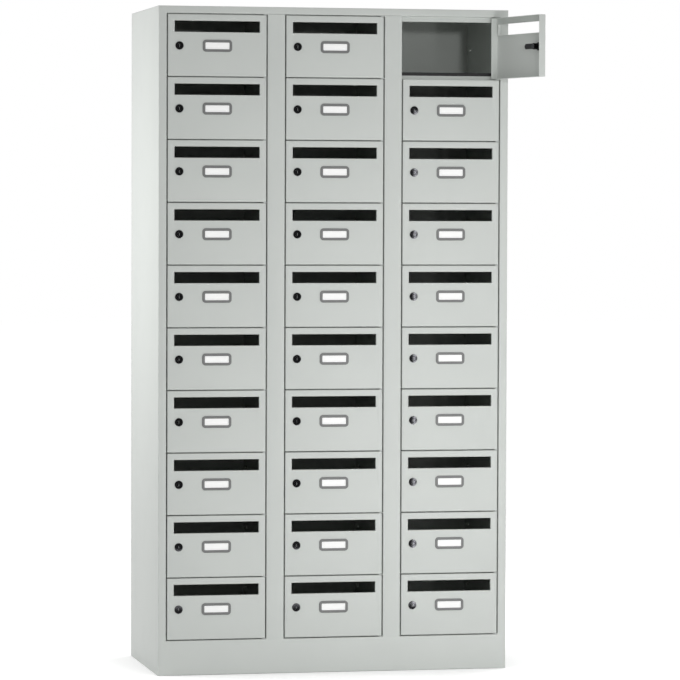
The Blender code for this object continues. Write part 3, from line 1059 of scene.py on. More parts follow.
    def top_panel(self) -> None:
        """The top sheet, folded into the front rail between the stiles and back to its stop lip."""
        low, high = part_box("top_panel")
        plinth_low, plinth_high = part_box("plinth_front")
        post_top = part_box("left_post")[1][2] + self.seat
        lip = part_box("floor_panel")[0][1]
        corners = [
            (lip, low[2]),
            (lip, post_top),
            (low[1], post_top),
            (low[1], high[2]),
            (high[1], high[2]),
        ]
        surface = SurfaceMesh()
        stations = [low[0], plinth_low[0] - self.seam, plinth_high[0] + self.seam, high[0]]
        FoldedSheet(corners, self.sheet, stations, axis=0, full_from=3).add_to(surface)
        self.keep("top_panel", surface)

    def plinth(self) -> None:
        """The front plinth, folded back at its top and into its foot flange."""
        low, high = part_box("plinth_front")
        corners = [
            (high[1], low[2]),
            (low[1], low[2]),
            (low[1], high[2]),
            (low[1] + self.fold_back, high[2]),
        ]
        surface = SurfaceMesh()
        stations = [low[0] - self.seam, high[0] + self.seam]
        FoldedSheet(corners, self.sheet, stations, axis=0).add_to(surface)
        self.keep("plinth_front", surface)

    def floor(self) -> None:
        """The floor of the bottom compartments, with its stop lip and its rear flange."""
        low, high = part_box("floor_panel")
        corners = [(low[1], low[2]), (low[1], high[2]), (high[1], high[2]), (high[1], low[2])]
        surface = SurfaceMesh()
        FoldedSheet(corners, self.sheet, [low[0], high[0]], axis=0).add_to(surface)
        self.keep("floor_panel", surface)

    def front_post(self, column: Column, eyes: list[Place]) -> None:
        """A channel between two columns of doors.

        Args:
            column: The post's own side of the cabinet.
            eyes: Middles of the hinge lugs on it.
        """
        node = f"{column.value}_post"
        low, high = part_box(node)
        left = high[0] - self.post
        corners = [(high[0], high[1]), (high[0], low[1]), (left, low[1]), (left, high[1])]
        surface = SurfaceMesh()
        stations = [low[2] - self.seam, high[2]]
        FoldedSheet(corners, self.sheet, stations, axis=2).add_to(surface)
        self.add_lugs(surface, eyes)
        self.keep(node, surface)

    def partition(self, column: Column) -> None:
        """The flat wall between two columns, notched round the top panel's stop lip.

        Args:
            column: The wall's own side of the cabinet.
        """
        node = f"{column.value}_partition"
        low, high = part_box(node)
        top_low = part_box("top_panel")[0]
        behind_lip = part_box("floor_panel")[0][1] + self.sheet + self.seat
        depth = np.array([low[1], behind_lip, high[1]])
        height = np.array([low[2], top_low[2] - self.seat, high[2]])
        flat = np.stack(np.meshgrid(depth, height, indexing="ij"), axis=-1)
        faces = [set_across(flat, place, 0) for place in (low[0], high[0])]
        solid = np.array([[True, False], [True, True]])
        points, quads, _ = sheet_shell(*faces, solid)
        surface = SurfaceMesh()
        surface.add(points, quads)
        self.keep(node, surface)

    def shelf_rack(self, column: Column) -> None:
        """Shelves that fold down to a stop lip in front and up to the next shelf behind.

        Args:
            column: The rack's column.
        """
        node = f"{column.value}_shelf_rack"
        low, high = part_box(node)
        floor_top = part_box("floor_panel")[1][2]
        top_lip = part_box("top_panel")[0][2] + self.lip_drop
        pitch = (top_lip - floor_top) / self.rows
        web = high[1] - self.sheet
        tops = floor_top + pitch * np.arange(1, self.rows)
        ends = np.append(tops[1:] - self.sheet - self.seat, high[2])
        surface = SurfaceMesh()
        stations = [low[0], high[0]]
        first = [(web, low[2]), (web, tops[0] - self.sheet - self.seat)]
        FoldedSheet(first, self.sheet, stations, axis=0).add_to(surface)
        for top, end in zip(tops, ends):
            corners = [(low[1], top - self.lip_drop), (low[1], top), (web, top), (web, end)]
            FoldedSheet(corners, self.sheet, stations, axis=0).add_to(surface)
        for level in np.append(floor_top, tops):
            height = level + self.screw_height
            self.add_screw(surface, (low[0] - self.seat, self.screw_depth, height), 1.0)
            self.add_screw(surface, (high[0] + self.seat, self.screw_depth, height), -1.0)
            self.add_shade_strip(surface, stations, low[1] + 2 * self.sheet, level)
        self.keep(node, surface, SHADE_BLACK_RUBBER, BRIGHT_NICKEL)

    def add_shade_strip(
        self, surface: SurfaceMesh, stations: list[float], front: float, bottom: float
    ) -> None:
        """Adds a black rubber strip on a shelf's front edge: a rounded rectangle carried along X.

        Its black is partly painted shade along the shelf's front edge.

        Args:
            surface: Mesh that takes the strip.
            stations: Its two ends along X.
            front: Depth of its front face.
            bottom: Height of its foot.
        """
        middle = np.array([front + self.shade_strip_thickness / 2, bottom + self.shade_strip_height / 2])
        loop = rounded_loop(self.shade_strip_thickness, self.shade_strip_height, self.shade_strip_edge) + middle
        surface.add_solid(np.stack([set_across(loop, place, 0) for place in stations]), finish=1)

    def add_screw(self, surface: SurfaceMesh, place: Place, side: float) -> None:
        """Adds a plated round head on a compartment's wall: the quarter of an ellipse, turned.

        Args:
            surface: Mesh that takes the head.
            place: Middle of its foot on the wall.
            side: 1 for a head that points along X, -1 against it.
        """
        turn = quarter_turn(CORNER_STEPS - 1)
        arc = np.column_stack([self.screw_radius * np.cos(turn), self.screw_rise * np.sin(turn)])
        profile = np.concatenate([[(0.0, 0.0)], arc])
        surface.add_loft(turned_head(place, 0, side, profile), closed=False, finish=2)

    def add_lugs(self, surface: SurfaceMesh, eyes: list[Place]) -> None:
        """Adds flat lugs with a round eye and a square root.

        Round the eye the outline is a circle on the side away from the stile. Towards it the
        radius is the half width over the sine, or the reach over the cosine, whichever is less.

        Args:
            surface: Mesh that takes the lugs.
            eyes: Middle of each eye.
        """
        angle = round_angles(ROUND_SIDES)
        half = self.lug_eye + self.lug_wall
        to_side = half / np.maximum(np.abs(np.sin(angle)), TINY)
        to_root = self.lug_reach / np.maximum(np.cos(angle), TINY)
        outer = polar_loop(np.where(np.cos(angle) > 0, np.minimum(to_side, to_root), half))
        inner = polar_loop(self.lug_eye)
        low, high = -self.lug_thickness / 2, self.lug_thickness / 2
        rings = [(inner, low), (inner, high), (outer, high), (outer, low)]
        lug = np.stack([set_across(loop, height, 2) for loop, height in rings])
        for eye in eyes:
            surface.add_loft(lug + np.array(eye), closed=True)


# Doors


@dataclass(frozen=True)
class MailDoor:
    """One kind of door, with its origin on the hinge axis at half the door's height.

    Attributes:
        width: Width of the leaf.
        height: Height of the leaf.
        flange: Depth of the flanges behind the outer face.
        sheet: Thickness of the sheet.
        fold: Outer radius of the folds.
        side_ease: Play that the folded leaf takes off each side.
        pin_depth: Distance of the hinge axis behind the outer face.
        pin_inset: Distance of the hinge axis from the leaf's hinge edge.
        pin_radius: Radius of the pivot pins.
        pin_length: Length of the pins beyond the leaf.
        pin_dome: Radius of the pins' rounded ends.
        slot_margin: Distance of the mail slot from the leaf's sides.
        slot_drop: Distance of the slot below the leaf's upper edge.
        slot_height: Height of the slot.
        slot_corner: Radius of the slot's corners.
        slot_fold: Outer radius of the fold round the slot.
        slot_rim: Depth of the slot's rim behind the outer face.
    """

    width: float = 0.277
    height: float = 0.1701
    flange: float = 0.020
    sheet: float = 0.001
    fold: float = 0.0018
    side_ease: float = 0.0004
    pin_depth: float = 0.005
    pin_inset: float = 0.00604
    pin_radius: float = 0.002
    pin_length: float = 0.00135
    pin_dome: float = 0.0005
    slot_margin: float = 0.0190
    slot_drop: float = 0.0175
    slot_height: float = 0.031
    slot_corner: float = 0.0012
    slot_fold: float = 0.0013
    slot_rim: float = 0.008

    @property
    def middle_x(self) -> float:
        """Middle of the leaf's width."""
        return self.pin_inset - self.width / 2

    @property
    def front(self) -> float:
        """Depth of the leaf's outer face."""
        return -self.pin_depth

    def folded_edge(self, fold: float, reach: float) -> tuple[np.ndarray, np.ndarray, np.ndarray]:
        """Runs round a folded edge: from the outer face, over the sheet's end, to the inner face.

        At angle a of a fold with radius r the path stands off from the edge by r times (1 minus
        sine of a) and lies at a depth of r times (1 minus cosine of a).

        Args:
            fold: Outer radius of the fold.
            reach: Depth of the sheet's end behind the outer face.

        Returns:
            Distance from the edge, depth and fold weight of each point.
        """
        turn, inner_turn = quarter_turn(), quarter_turn()[::-1]
        inner_fold = fold - self.sheet
        offset = fold * (1 - np.sin(turn))
        inner_offset = self.sheet + inner_fold * (1 - np.sin(inner_turn))
        depth = fold * (1 - np.cos(turn))
        inner_depth = self.sheet + inner_fold * (1 - np.cos(inner_turn))
        return (
            np.concatenate([offset, [0.0, self.sheet], inner_offset]),
            np.concatenate([depth, [reach, reach], inner_depth]),
            np.concatenate([np.sin(2 * turn), [0.0, 0.0], np.sin(2 * inner_turn)]),
        )

    def rim_loops(self) -> tuple[np.ndarray, np.ndarray, np.ndarray]:
        """Loops of the leaf's flanges from the outer face round their edges to the inner face.

        Returns:
            Loops, their depths behind the outer face, and their fold weights.
        """
        offset, depth, weight = self.folded_edge(self.fold, self.flange)
        width = self.width - 2 * self.side_ease
        loops = [
            rounded_loop(width - 2 * off, self.height - 2 * off, max(self.fold - off, 0.0))
            for off in offset
        ]
        return np.stack(loops) + np.array([self.middle_x, 0.0]), depth, weight

    def slot_loops(self) -> tuple[np.ndarray, np.ndarray, np.ndarray]:
        """Loops of the slot's rim from the outer face round its edge to the inner face.

        Returns:
            Loops, their depths behind the outer face, and their fold weights.
        """
        offset, depth, weight = self.folded_edge(self.slot_fold, self.slot_rim)
        width, height = self.width - 2 * self.slot_margin, self.slot_height
        loops = [
            rounded_loop(width + 2 * off, height + 2 * off, self.slot_corner + off)
            for off in offset
        ]
        middle_z = self.height / 2 - self.slot_drop - height / 2
        return np.stack(loops) + np.array([self.middle_x, middle_z]), depth, weight

    def leaf(self) -> bpy.types.Mesh:
        """The leaf: a rim folded all round, a slot rim folded inwards, flat faces and pivot pins.

        It is one closed loft of rounded rectangles: the rim from the front round to the back, then
        the slot from the back round to the front.

        Returns:
            The mesh in door coordinates.
        """
        rim, rim_depth, rim_weight = self.rim_loops()
        slot, slot_depth, slot_weight = self.slot_loops()
        depths = np.concatenate([rim_depth, slot_depth[::-1]])
        loops = in_door_plane(np.concatenate([rim, slot[::-1]]), self.front + depths[:, None])
        surface = SurfaceMesh()
        surface.add_loft(loops, closed=True, fold=np.concatenate([rim_weight, slot_weight[::-1]]))
        self.add_pins(surface)
        return surface.mesh("door_leaf")

    def add_pins(self, surface: SurfaceMesh) -> None:
        """Adds a pivot pin with a rounded end above and below the hinge edge.

        At angle a of the rounded end the radius is less by the dome times (1 minus cosine of a),
        and the rise is less than the pin's length by the dome times (1 minus sine of a).

        Args:
            surface: Mesh that takes the pins.
        """
        turn = quarter_turn()
        foot = -self.sheet / 2
        radius = self.pin_radius - self.pin_dome * (1 - np.cos(turn))
        rise = self.pin_length - self.pin_dome * (1 - np.sin(turn))
        radius = np.concatenate([[0.0, self.pin_radius], radius, [0.0]])
        rise = np.concatenate([[foot, foot], rise, [self.pin_length]])
        loops = radius[:, None, None] * polar_loop(1.0, ROUND_SIDES // 2)
        for end in (-1.0, 1.0):
            height = end * (self.height / 2 + rise)[:, None]
            surface.add_loft(set_across(loops, height, 2), closed=False)


@dataclass(frozen=True)
class LabelHolder:
    """A holder with a rounded outline and a card behind its window, on the middle of a door.

    Attributes:
        width: Width of the holder.
        height: Height of the holder.
        thickness: How far it stands out from the leaf.
        corner: Radius of its outer corners.
        border: Width of its frame.
        edge: Radius of the frame's edges.
        card_depth: How far the card's face stands out from the leaf.
        card_thickness: Thickness of the card.
    """

    width: float = 0.082
    height: float = 0.033
    thickness: float = 0.0024
    corner: float = 0.0092
    border: float = 0.0073
    edge: float = 0.0007
    card_depth: float = 0.0009
    card_thickness: float = 0.0006

    def mesh(self, door: MailDoor, centre_z: float) -> bpy.types.Mesh:
        """The holder as a ring of loops, and its card as a thin block.

        The ring runs up the outer wall, over its rounded edges and down the inner wall to the
        card. At angle a of an edge with radius r the loop lies r times (1 minus cosine of a)
        inside the wall and r times (1 minus sine of a) below the top, and the other way round at
        the inner edge.

        Args:
            door: The door that carries it.
            centre_z: Height of its middle in door coordinates.

        Returns:
            A mesh with the holder's finish as number 0 and the card's as number 1.
        """
        surface = SurfaceMesh()
        turn = quarter_turn()
        sine_gap, cosine_gap = self.edge * (1 - np.sin(turn)), self.edge * (1 - np.cos(turn))
        border, top = self.border, self.thickness
        inset = np.concatenate([[0.0], cosine_gap, [border / 2], border - sine_gap, [border]])
        height = np.concatenate([[0.0], top - sine_gap, [top], top - cosine_gap, [0.0]])
        weight = np.concatenate([[0.0], np.sin(2 * turn), [0.0], np.sin(2 * turn), [0.0]])
        place = np.array([door.middle_x, centre_z])
        loops = [
            rounded_loop(
                self.width - 2 * off, self.height - 2 * off, max(self.corner - off, self.edge)
            )
            for off in inset
        ]
        ring = in_door_plane(np.stack(loops) + place, door.front - height[:, None])
        surface.add_loft(ring, closed=True, fold=weight)
        card_width = self.width - 2 * border + 2 * self.edge
        card_height = self.height - 2 * border + 2 * self.edge
        card = rounded_loop(card_width, card_height, self.edge) + place
        card_front = door.front - self.card_depth
        card_faces = np.array([card_front, card_front + self.card_thickness])
        surface.add_solid(in_door_plane(np.stack([card, card]), card_faces[:, None]), finish=1)
        return surface.mesh("label_holder")


class LockPart(Enum):
    """The pieces of a cam lock that move together."""

    HOUSING = "housing"
    PLUG = "plug"


@dataclass(frozen=True)
class CamLock:
    """A cam lock with its rosette in front of the leaf and its lever behind the door's flange.

    Attributes:
        inset: Distance of its middle from the leaf's free edge.
        rosette_radius: Radius of the rosette.
        proud: How far the rosette stands out from the leaf.
        crown_radius: Radius of the slightly domed faces of rosette and plug.
        barrel_radius: Radius of the barrel behind the leaf.
        plug_radius: Radius of the plug.
        play: Gap round the plug.
        edge: Size of eased edges.
        cam_clearance: Gap between the door's flange and the lever.
        cam_thickness: Thickness of the lever.
        cam_width: Width of the lever.
        cam_length: Distance from the lock's middle to the lever's tip.
        nut_flat: Half the nut's width across its flats.
        nut_chamfer: Radius of the nut's chamfered end, as a multiple of that half width.
        nut_thickness: Thickness of the nut.
        keyway_width: Width of the keyway.
        keyway_length: Length of the keyway.
        keyway_depth: Depth of the keyway.
        keyway_rounding: The keyway's width over the radius of its corners.
        screw_flat: Half the width of the lever's screw across its flats.
        screw_chamfer: Radius of the screw's chamfered end, as a multiple of that half width.
        screw_height: Height of the screw's head.
    """

    inset: float = 0.0325
    rosette_radius: float = 0.0115
    proud: float = 0.003
    crown_radius: float = 0.5
    barrel_radius: float = 0.0088
    plug_radius: float = 0.006
    play: float = 0.0003
    edge: float = 0.0005
    cam_clearance: float = 0.0015
    cam_thickness: float = 0.002
    cam_width: float = 0.015
    cam_length: float = 0.0445
    nut_flat: float = 0.0112
    nut_chamfer: float = 1.03
    nut_thickness: float = 0.004
    keyway_width: float = 0.0016
    keyway_length: float = 0.008
    keyway_depth: float = 0.004
    keyway_rounding: float = 2.2
    screw_flat: float = 0.0038
    screw_chamfer: float = 1.02
    screw_height: float = 0.0018

    def centre(self, door: MailDoor, centre_z: float) -> np.ndarray:
        """Middle of the lock in the plane of the door."""
        return np.array([door.pin_inset - door.width + self.inset, centre_z])

    def crown(self, radius: np.ndarray | float) -> np.ndarray | float:
        """How far the domed face falls back: the radius squared over twice the dome's radius."""
        return radius**2 / (2 * self.crown_radius)

    def cam_front(self, door: MailDoor) -> float:
        """Depth of the lever's front face."""
        return door.front + door.flange + self.cam_clearance

    def add_turned(
        self, surface: SurfaceMesh, profile: np.ndarray, centre: np.ndarray, closed: bool
    ) -> None:
        """Adds a turned form: each point of the profile is carried round a circle of its radius.

        Args:
            surface: Mesh that takes the form.
            profile: Radius and depth of each point.
            centre: Middle of the form in the plane of the door.
            closed: Whether the profile's end joins its start.
        """
        loops = profile[:, 0, None, None] * polar_loop(1.0) + centre
        surface.add_loft(in_door_plane(loops, profile[:, 1, None]), closed)

    def add_housing(self, surface: SurfaceMesh, door: MailDoor, centre: np.ndarray) -> None:
        """Adds the rosette with its barrel, and the nut that clamps it behind the leaf.

        The barrel is a turned profile: a dome from the bore to the rosette's rim, then a path with
        eased corners behind the rosette, along the barrel and back through the bore. The nut is a
        ring of loops: a hexagon whose outer end is cut to a circle, round a hole.

        Args:
            surface: Mesh that takes the pieces.
            door: The door that carries the lock.
            centre: Middle of the lock in the plane of the door.
        """
        bore = self.plug_radius + self.play
        face = door.front - self.proud
        end = self.cam_front(door) - self.play
        spread = np.linspace(bore + self.edge, self.rosette_radius - 1.5 * self.edge, CORNER_STEPS)
        dome = np.column_stack([spread, face + self.crown(spread)])
        corners = np.array(
            [
                (self.rosette_radius, face + 3 * self.edge),
                (self.rosette_radius, door.front),
                (self.barrel_radius, door.front),
                (self.barrel_radius, end),
                (bore, end),
                (bore, face + 2 * self.edge),
            ]
        )
        profile = np.concatenate([dome, rounded_path(corners, self.edge / 2, 0.0)[0]])
        self.add_turned(surface, profile, centre, closed=True)
        low = door.front + door.sheet
        high = low + self.nut_thickness
        hexagon = hexagon_radius(self.nut_flat)
        chamfer = np.minimum(hexagon, self.nut_flat * self.nut_chamfer)
        hole = self.barrel_radius + self.play
        radii = [hexagon, hexagon, chamfer, hole, hole]
        depths = np.array([low, high - self.edge, high, high, low])
        loops = np.stack([polar_loop(radius) for radius in radii]) + centre
        surface.add_loft(in_door_plane(loops, depths[:, None]), closed=True)

    def add_plug(self, surface: SurfaceMesh, door: MailDoor, centre: np.ndarray) -> None:
        """Adds the plug with its keyway, the lever pointing to the hinge, and the lever's screw.

        The plug's face is a fan of loops that pass in equal shares from its rim to the keyway's
        outline.

        Args:
            surface: Mesh that takes the pieces.
            door: The door that carries the lock.
            centre: Middle of the lock in the plane of the door.
        """
        face = door.front - self.proud + self.play
        lever_front = self.cam_front(door)
        lever_back = lever_front + self.cam_thickness
        wall = np.array(
            [
                (self.plug_radius - self.edge, face + self.crown(self.plug_radius - self.edge)),
                (self.plug_radius, face + self.edge),
                (self.plug_radius, lever_front),
                (0.0, lever_front),
            ]
        )
        self.add_turned(surface, wall, centre, closed=False)
        keyway = rounded_loop(
            self.keyway_width,
            self.keyway_length,
            self.keyway_width / self.keyway_rounding,
            steps=ROUND_SIDES // 4 - 1,
        )
        rim = polar_loop(self.plug_radius - self.edge)
        share = np.linspace(0.0, 1.0, CORNER_STEPS)[:, None, None]
        fan = rim + (keyway - rim) * share
        depths = face + self.crown(np.linalg.norm(fan, axis=-1))
        floor = np.full((1, ROUND_SIDES), face + self.keyway_depth)
        loops = np.concatenate([fan, keyway[None]]) + centre
        points = in_door_plane(loops, np.concatenate([depths, floor]))
        surface.add_loft(points, closed=False)
        surface.add(points[-1], one_face(keyway))
        thin = self.edge / 2
        outline = capsule_loop(self.cam_length, self.cam_width) + centre
        eased = capsule_loop(self.cam_length - thin, self.cam_width - 2 * thin) + centre
        depths = np.array([lever_front, lever_front + thin, lever_back - thin, lever_back])
        lever = np.stack([eased, outline, outline, eased])
        surface.add_solid(in_door_plane(lever, depths[:, None]), finish=1)
        head = hexagon_radius(self.screw_flat)
        crown = np.minimum(head, self.screw_flat * self.screw_chamfer)
        screw = np.stack([polar_loop(radius) + centre for radius in (head, head, crown)])
        top = lever_back + self.screw_height
        depths = np.array([lever_back, top - thin, top])
        surface.add_solid(in_door_plane(screw, depths[:, None]), finish=1)

    def mesh(self, door: MailDoor, centre_z: float, parts: list[LockPart]) -> bpy.types.Mesh:
        """The chosen pieces of the lock.

        Args:
            door: The door that carries it.
            centre_z: Height of its middle in door coordinates.
            parts: Pieces to build into one mesh.

        Returns:
            A mesh with the black plating as number 0 and the lever's plating as number 1.
        """
        surface = SurfaceMesh()
        centre = self.centre(door, centre_z)
        if LockPart.HOUSING in parts:
            self.add_housing(surface, door, centre)
        if LockPart.PLUG in parts:
            self.add_plug(surface, door, centre)
        return surface.mesh("cam_lock")


@dataclass
class DoorGrid:
    """All doors with their fittings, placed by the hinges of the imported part.

    Attributes:
        door: The kind of door.
        label: Its label holder.
        lock: Its lock.
        fittings_below_slot: Distance of the middle of lock and label below the slot.
        leaf_mesh: The leaf, in door coordinates as the next four are.
        label_mesh: The holder with its card.
        whole_lock: A lock that doesn't turn.
        housing: The fixed piece of a lock that turns.
        plug: The turning piece of that lock.
    """

    door: MailDoor = field(default_factory=MailDoor)
    label: LabelHolder = field(default_factory=LabelHolder)
    lock: CamLock = field(default_factory=CamLock)
    fittings_below_slot: float = 0.0378
    leaf_mesh: bpy.types.Mesh = field(init=False)
    label_mesh: bpy.types.Mesh = field(init=False)
    whole_lock: bpy.types.Mesh = field(init=False)
    housing: bpy.types.Mesh = field(init=False)
    plug: bpy.types.Mesh = field(init=False)

    def __post_init__(self) -> None:
        """Builds each mesh once; the doors take copies."""
        door = self.door
        centre_z = door.height / 2 - door.slot_drop - door.slot_height - self.fittings_below_slot
        self.leaf_mesh = door.leaf()
        self.label_mesh = self.label.mesh(door, centre_z)
        self.whole_lock = self.lock.mesh(door, centre_z, list(LockPart))
        self.housing = self.lock.mesh(door, centre_z, [LockPart.HOUSING])
        self.plug = self.lock.mesh(door, centre_z, [LockPart.PLUG])

    def place(self, joint: dict[str, Any]) -> Matrix:
        """Where a door rests: at its hinge, turned by as much as its hinge can close."""
        rest = -math.radians(joint["range_deg"][0])
        return Matrix.Translation(joint["pos_m"]) @ Matrix.Rotation(rest, 4, "Z")

    def build(self, joints: list[dict[str, Any]], bodies: dict[str, list[str]]) -> None:
        """Builds the pieces of every door.

        Args:
            joints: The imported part's joints.
            bodies: The CAD nodes of each body.
        """
        for joint in joints:
            body = joint["child"]
            if "_door_" not in body:
                continue
            matrix = self.place(joint)
            column, row = body.split("_door_")
            nodes = bodies[body]
            kinds = ("door", "label", "lock")
            own = {kind: [node for node in nodes if kind in node] for kind in kinds}
            name = f"{body}_leaf"
            coats = [LIGHT_GREY]
            self.put(name, self.leaf_mesh, matrix, coats, body, Slot.PAINT, own["door"])
            name = f"{column}_label_{row}"
            coats = [GREY_PLASTIC, WHITE_CARD]
            self.put(name, self.label_mesh, matrix, coats, body, Slot.FRAME, own["label"])
            turning = column == Column.RIGHT.value
            mesh = self.housing if turning else self.whole_lock
            name = f"{column}_lock_housing_{row}"
            coats = [BLACK_NICKEL, DARK_STEEL]
            self.put(name, mesh, matrix, coats, body, Slot.LOCK, own["lock"])
            if turning:
                lock_body = f"{column}_lock_{row}"
                name = f"{column}_lock_plug_{row}"
                self.put(name, self.plug, matrix, coats, lock_body, Slot.LOCK, bodies[lock_body])

    def put(
        self,
        name: str,
        mesh: bpy.types.Mesh,
        matrix: Matrix,
        coats: list[Coat],
        body: str,
        slot: Slot,
        nodes: list[str],
    ) -> None:
        """Shows a copy of a mesh at a door's place.

        Args:
            name: Name of the piece.
            mesh: Mesh in door coordinates.
            matrix: The door's place.
            coats: Finishes in the order of the mesh's material numbers.
            body: CAD body that carries the piece.
            slot: Material slot of the record.
            nodes: CAD nodes that it replaces.
        """
        copy = mesh.copy()
        copy.name = name
        copy.transform(matrix)
        show(name, copy, coats, body, slot, nodes)

    def lug_places(self, joints: list[dict[str, Any]]) -> dict[Column, list[Place]]:
        """Middles of the lugs' eyes: on each hinge axis, halfway in the gaps above and below doors.

        Args:
            joints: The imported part's joints.

        Returns:
            Places by column.
        """
        places: dict[Column, list[Place]] = {}
        for column in Column:
            prefix = f"{column.value}_door_"
            hinges = [joint["pos_m"] for joint in joints if joint["child"].startswith(prefix)]
            heights = np.array([place[2] for place in hinges])
            pitch = heights[0] - heights[1]
            levels = np.append(heights + pitch / 2, heights[-1] - pitch / 2)
            places[column] = [(hinges[0][0], hinges[0][1], level) for level in levels]
        return places


# Studio


@dataclass(frozen=True)
class Softbox:
    """A rectangular lamp that faces a point.

    Attributes:
        name: Name of the lamp.
        place: Its middle.
        target: Point that it faces.
        width: Its size across.
        height: Its size upwards.
        radiance: Light that leaves it, as a multiple of white.
        mirrored: Whether shiny surfaces show it.
        spread: Whether it lights matt surfaces.
    """

    name: str
    place: Place
    target: Place
    width: float
    height: float
    radiance: float
    mirrored: bool = True
    spread: bool = True

    def build(self) -> None:
        """Links the lamp; its power is its radiance times its area times pi."""
        lamp = bpy.data.lights.new(self.name, "AREA")
        lamp.shape = "RECTANGLE"
        lamp.size = self.width
        lamp.size_y = self.height
        lamp.energy = self.radiance * self.width * self.height * math.pi
        thing = link_new(self.name, lamp)
        thing.location = self.place
        aim = Vector(self.target) - Vector(self.place)
        thing.rotation_euler = aim.to_track_quat("-Z", "Y").to_euler()
        thing.visible_glossy = self.mirrored
        thing.visible_diffuse = self.spread


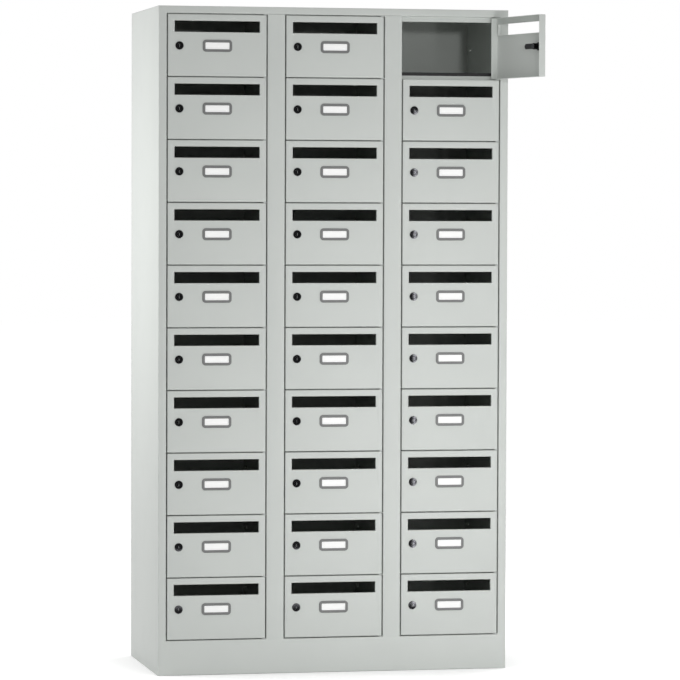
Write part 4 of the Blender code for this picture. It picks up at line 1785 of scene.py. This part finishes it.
@dataclass(frozen=True)
class Studio:
    """White floor and surroundings, soft lamps and the photograph's camera.

    Attributes:
        world_level: Strength of the even light from all round.
        floor_size: Width and depth of the floor.
        floor_drop: How far the floor lies below the cabinet's foot.
        floor_grey: Share of light that the floor reflects.
        floor_white: Light added to the floor where it is seen directly.
        painted_shade_reach: Distance from the cabinet within which painted shade darkens that added
            light.
        painted_shade_depth: Share of that added light which the painted shade takes away where the
            cabinet meets the floor.
        camera_place: Place of the camera.
        camera_yaw: Turn of the view to the left, from a view along +Y.
        camera_pitch: Turn of the view upwards.
        camera_roll: Turn of the camera about its view.
        focal_pixels: Focal length, in pixels of the photograph.
        frame_pixels: Width of the photograph in pixels.
        sensor: Width of the camera's sensor, in millimetres.
        softboxes: The lamps.
    """

    world_level: float = 0.44
    floor_size: float = 60.0
    floor_drop: float = 0.0004
    floor_grey: float = 0.82
    floor_white: float = 0.645
    painted_shade_reach: float = 0.35
    painted_shade_depth: float = 1.0
    camera_place: Place = (-2.173, -10.286, 1.308)
    camera_yaw: float = math.radians(-12.0384)
    camera_pitch: float = math.radians(-2.0759)
    camera_roll: float = math.radians(0.19)
    focal_pixels: float = 3771.6
    frame_pixels: float = 680.0
    sensor: float = 36.0
    softboxes: tuple[Softbox, ...] = (
        Softbox("low_front_softbox", (0.35, -1.8, 0.065), (0.2, -0.7, 1.265), 1.8, 0.16, 8.9),
        Softbox("strip_softbox", (0.597, -1.5, 0.80), (0.57, 0.0, 0.80), 0.052, 1.6, 16.5),
        Softbox(
            "glint_softbox", (0.600, -1.5, 0.80), (0.57, 0.0, 0.80), 0.046, 1.6, 27.0, spread=False
        ),
        Softbox("left_softbox", (-1.65, 0.30, 1.30), (-0.5, 0.25, 1.26), 0.7, 0.8, 6.7),
        Softbox(
            "front_softbox", (0.28, -3.0, 1.88), (0.28, 0.0, 1.5), 0.12, 0.12, 315.0, mirrored=False
        ),
        Softbox("rear_softbox", (2.3, 2.0, 2.3), (0.1, 0.45, 1.0), 1.0, 1.0, 9.0),
    )

    def build(self) -> None:
        """Sets up the world, floor, lamps and camera."""
        bpy.context.scene.view_settings.view_transform = "Standard"
        self.world()
        self.floor()
        for softbox in self.softboxes:
            softbox.build()
        self.camera()

    def seen_directly(self, sheet: NodeSheet) -> bpy.types.NodeSocket:
        """1 for rays from the camera and for rays in reflections and glass, otherwise 0.

        Args:
            sheet: Nodes of the world or the floor.

        Returns:
            The socket of that share.
        """
        rays = sheet.node("ShaderNodeLightPath").outputs
        mirrored = sheet.math("MAXIMUM", rays["Is Glossy Ray"], rays["Is Transmission Ray"])
        return sheet.math("MAXIMUM", rays["Is Camera Ray"], mirrored)

    def world(self) -> None:
        """Even light from all round, on a background that shows as white."""
        world = bpy.data.worlds.new("white_studio")
        sheet = NodeSheet.cleared(world)
        strength = sheet.span(self.seen_directly(sheet), self.world_level, 1.0)
        white = sheet.node("ShaderNodeBackground", Color=WHITE, Strength=strength)
        sheet.node("ShaderNodeOutputWorld", Surface=white.outputs[0])
        bpy.context.scene.world = world

    def floor(self) -> None:
        """A white floor that keeps the cabinet's shadow, with painted shade close to the cabinet."""
        corners = rounded_loop(self.floor_size, self.floor_size, 0.0)[:: CORNER_STEPS + 1]
        mesh = bpy.data.meshes.new("studio_floor")
        mesh.from_pydata(set_across(corners, -self.floor_drop, 2), [], one_face(corners))
        material = bpy.data.materials.new("white_floor")
        sheet = NodeSheet.cleared(material)
        matt = sheet.node("ShaderNodeBsdfDiffuse", Color=(*[self.floor_grey] * 3, 1.0))
        level = sheet.span(self.seen_directly(sheet), 0.0, self.floor_white)
        # Painted shade: ambient occlusion dims the floor's added white close to the cabinet.
        contact = sheet.node("ShaderNodeAmbientOcclusion", Distance=self.painted_shade_reach)
        painted_shade_factor = sheet.span(contact.outputs["AO"], 1.0 - self.painted_shade_depth, 1.0)
        level = sheet.math("MULTIPLY", level, painted_shade_factor)
        white = sheet.node("ShaderNodeEmission", Color=WHITE, Strength=level)
        both = sheet.node("ShaderNodeAddShader", i0=matt.outputs[0], i1=white.outputs[0])
        sheet.node("ShaderNodeOutputMaterial", Surface=both.outputs[0])
        mesh.materials.append(material)
        floor = link_new("studio_floor", mesh)

    def camera(self) -> None:
        """The photograph's camera, turned by its yaw, pitch and roll from a view along +Y."""
        lens = bpy.data.cameras.new("photo_camera")
        lens.sensor_width = self.sensor
        lens.lens = self.focal_pixels * self.sensor / self.frame_pixels
        upright = Matrix.Rotation(math.pi / 2 + self.camera_pitch, 4, "X")
        turned = Matrix.Rotation(self.camera_yaw, 4, "Z") @ upright
        rolled = turned @ Matrix.Rotation(self.camera_roll, 4, "Z")
        thing = link_new("photo_camera", lens)
        thing.matrix_world = Matrix.Translation(self.camera_place) @ rolled
        bpy.context.scene.camera = thing


def main() -> None:
    """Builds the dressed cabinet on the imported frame."""
    logging.basicConfig(level=logging.INFO, format="%(name)s: %(message)s")
    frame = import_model()
    doors = DoorGrid()
    CabinetBody().build(doors.lug_places(frame["joints"]))
    doors.build(frame["joints"], frame["record"]["behaviour"]["bodies"])
    Studio().build()


if __name__ == "__main__":
    main()
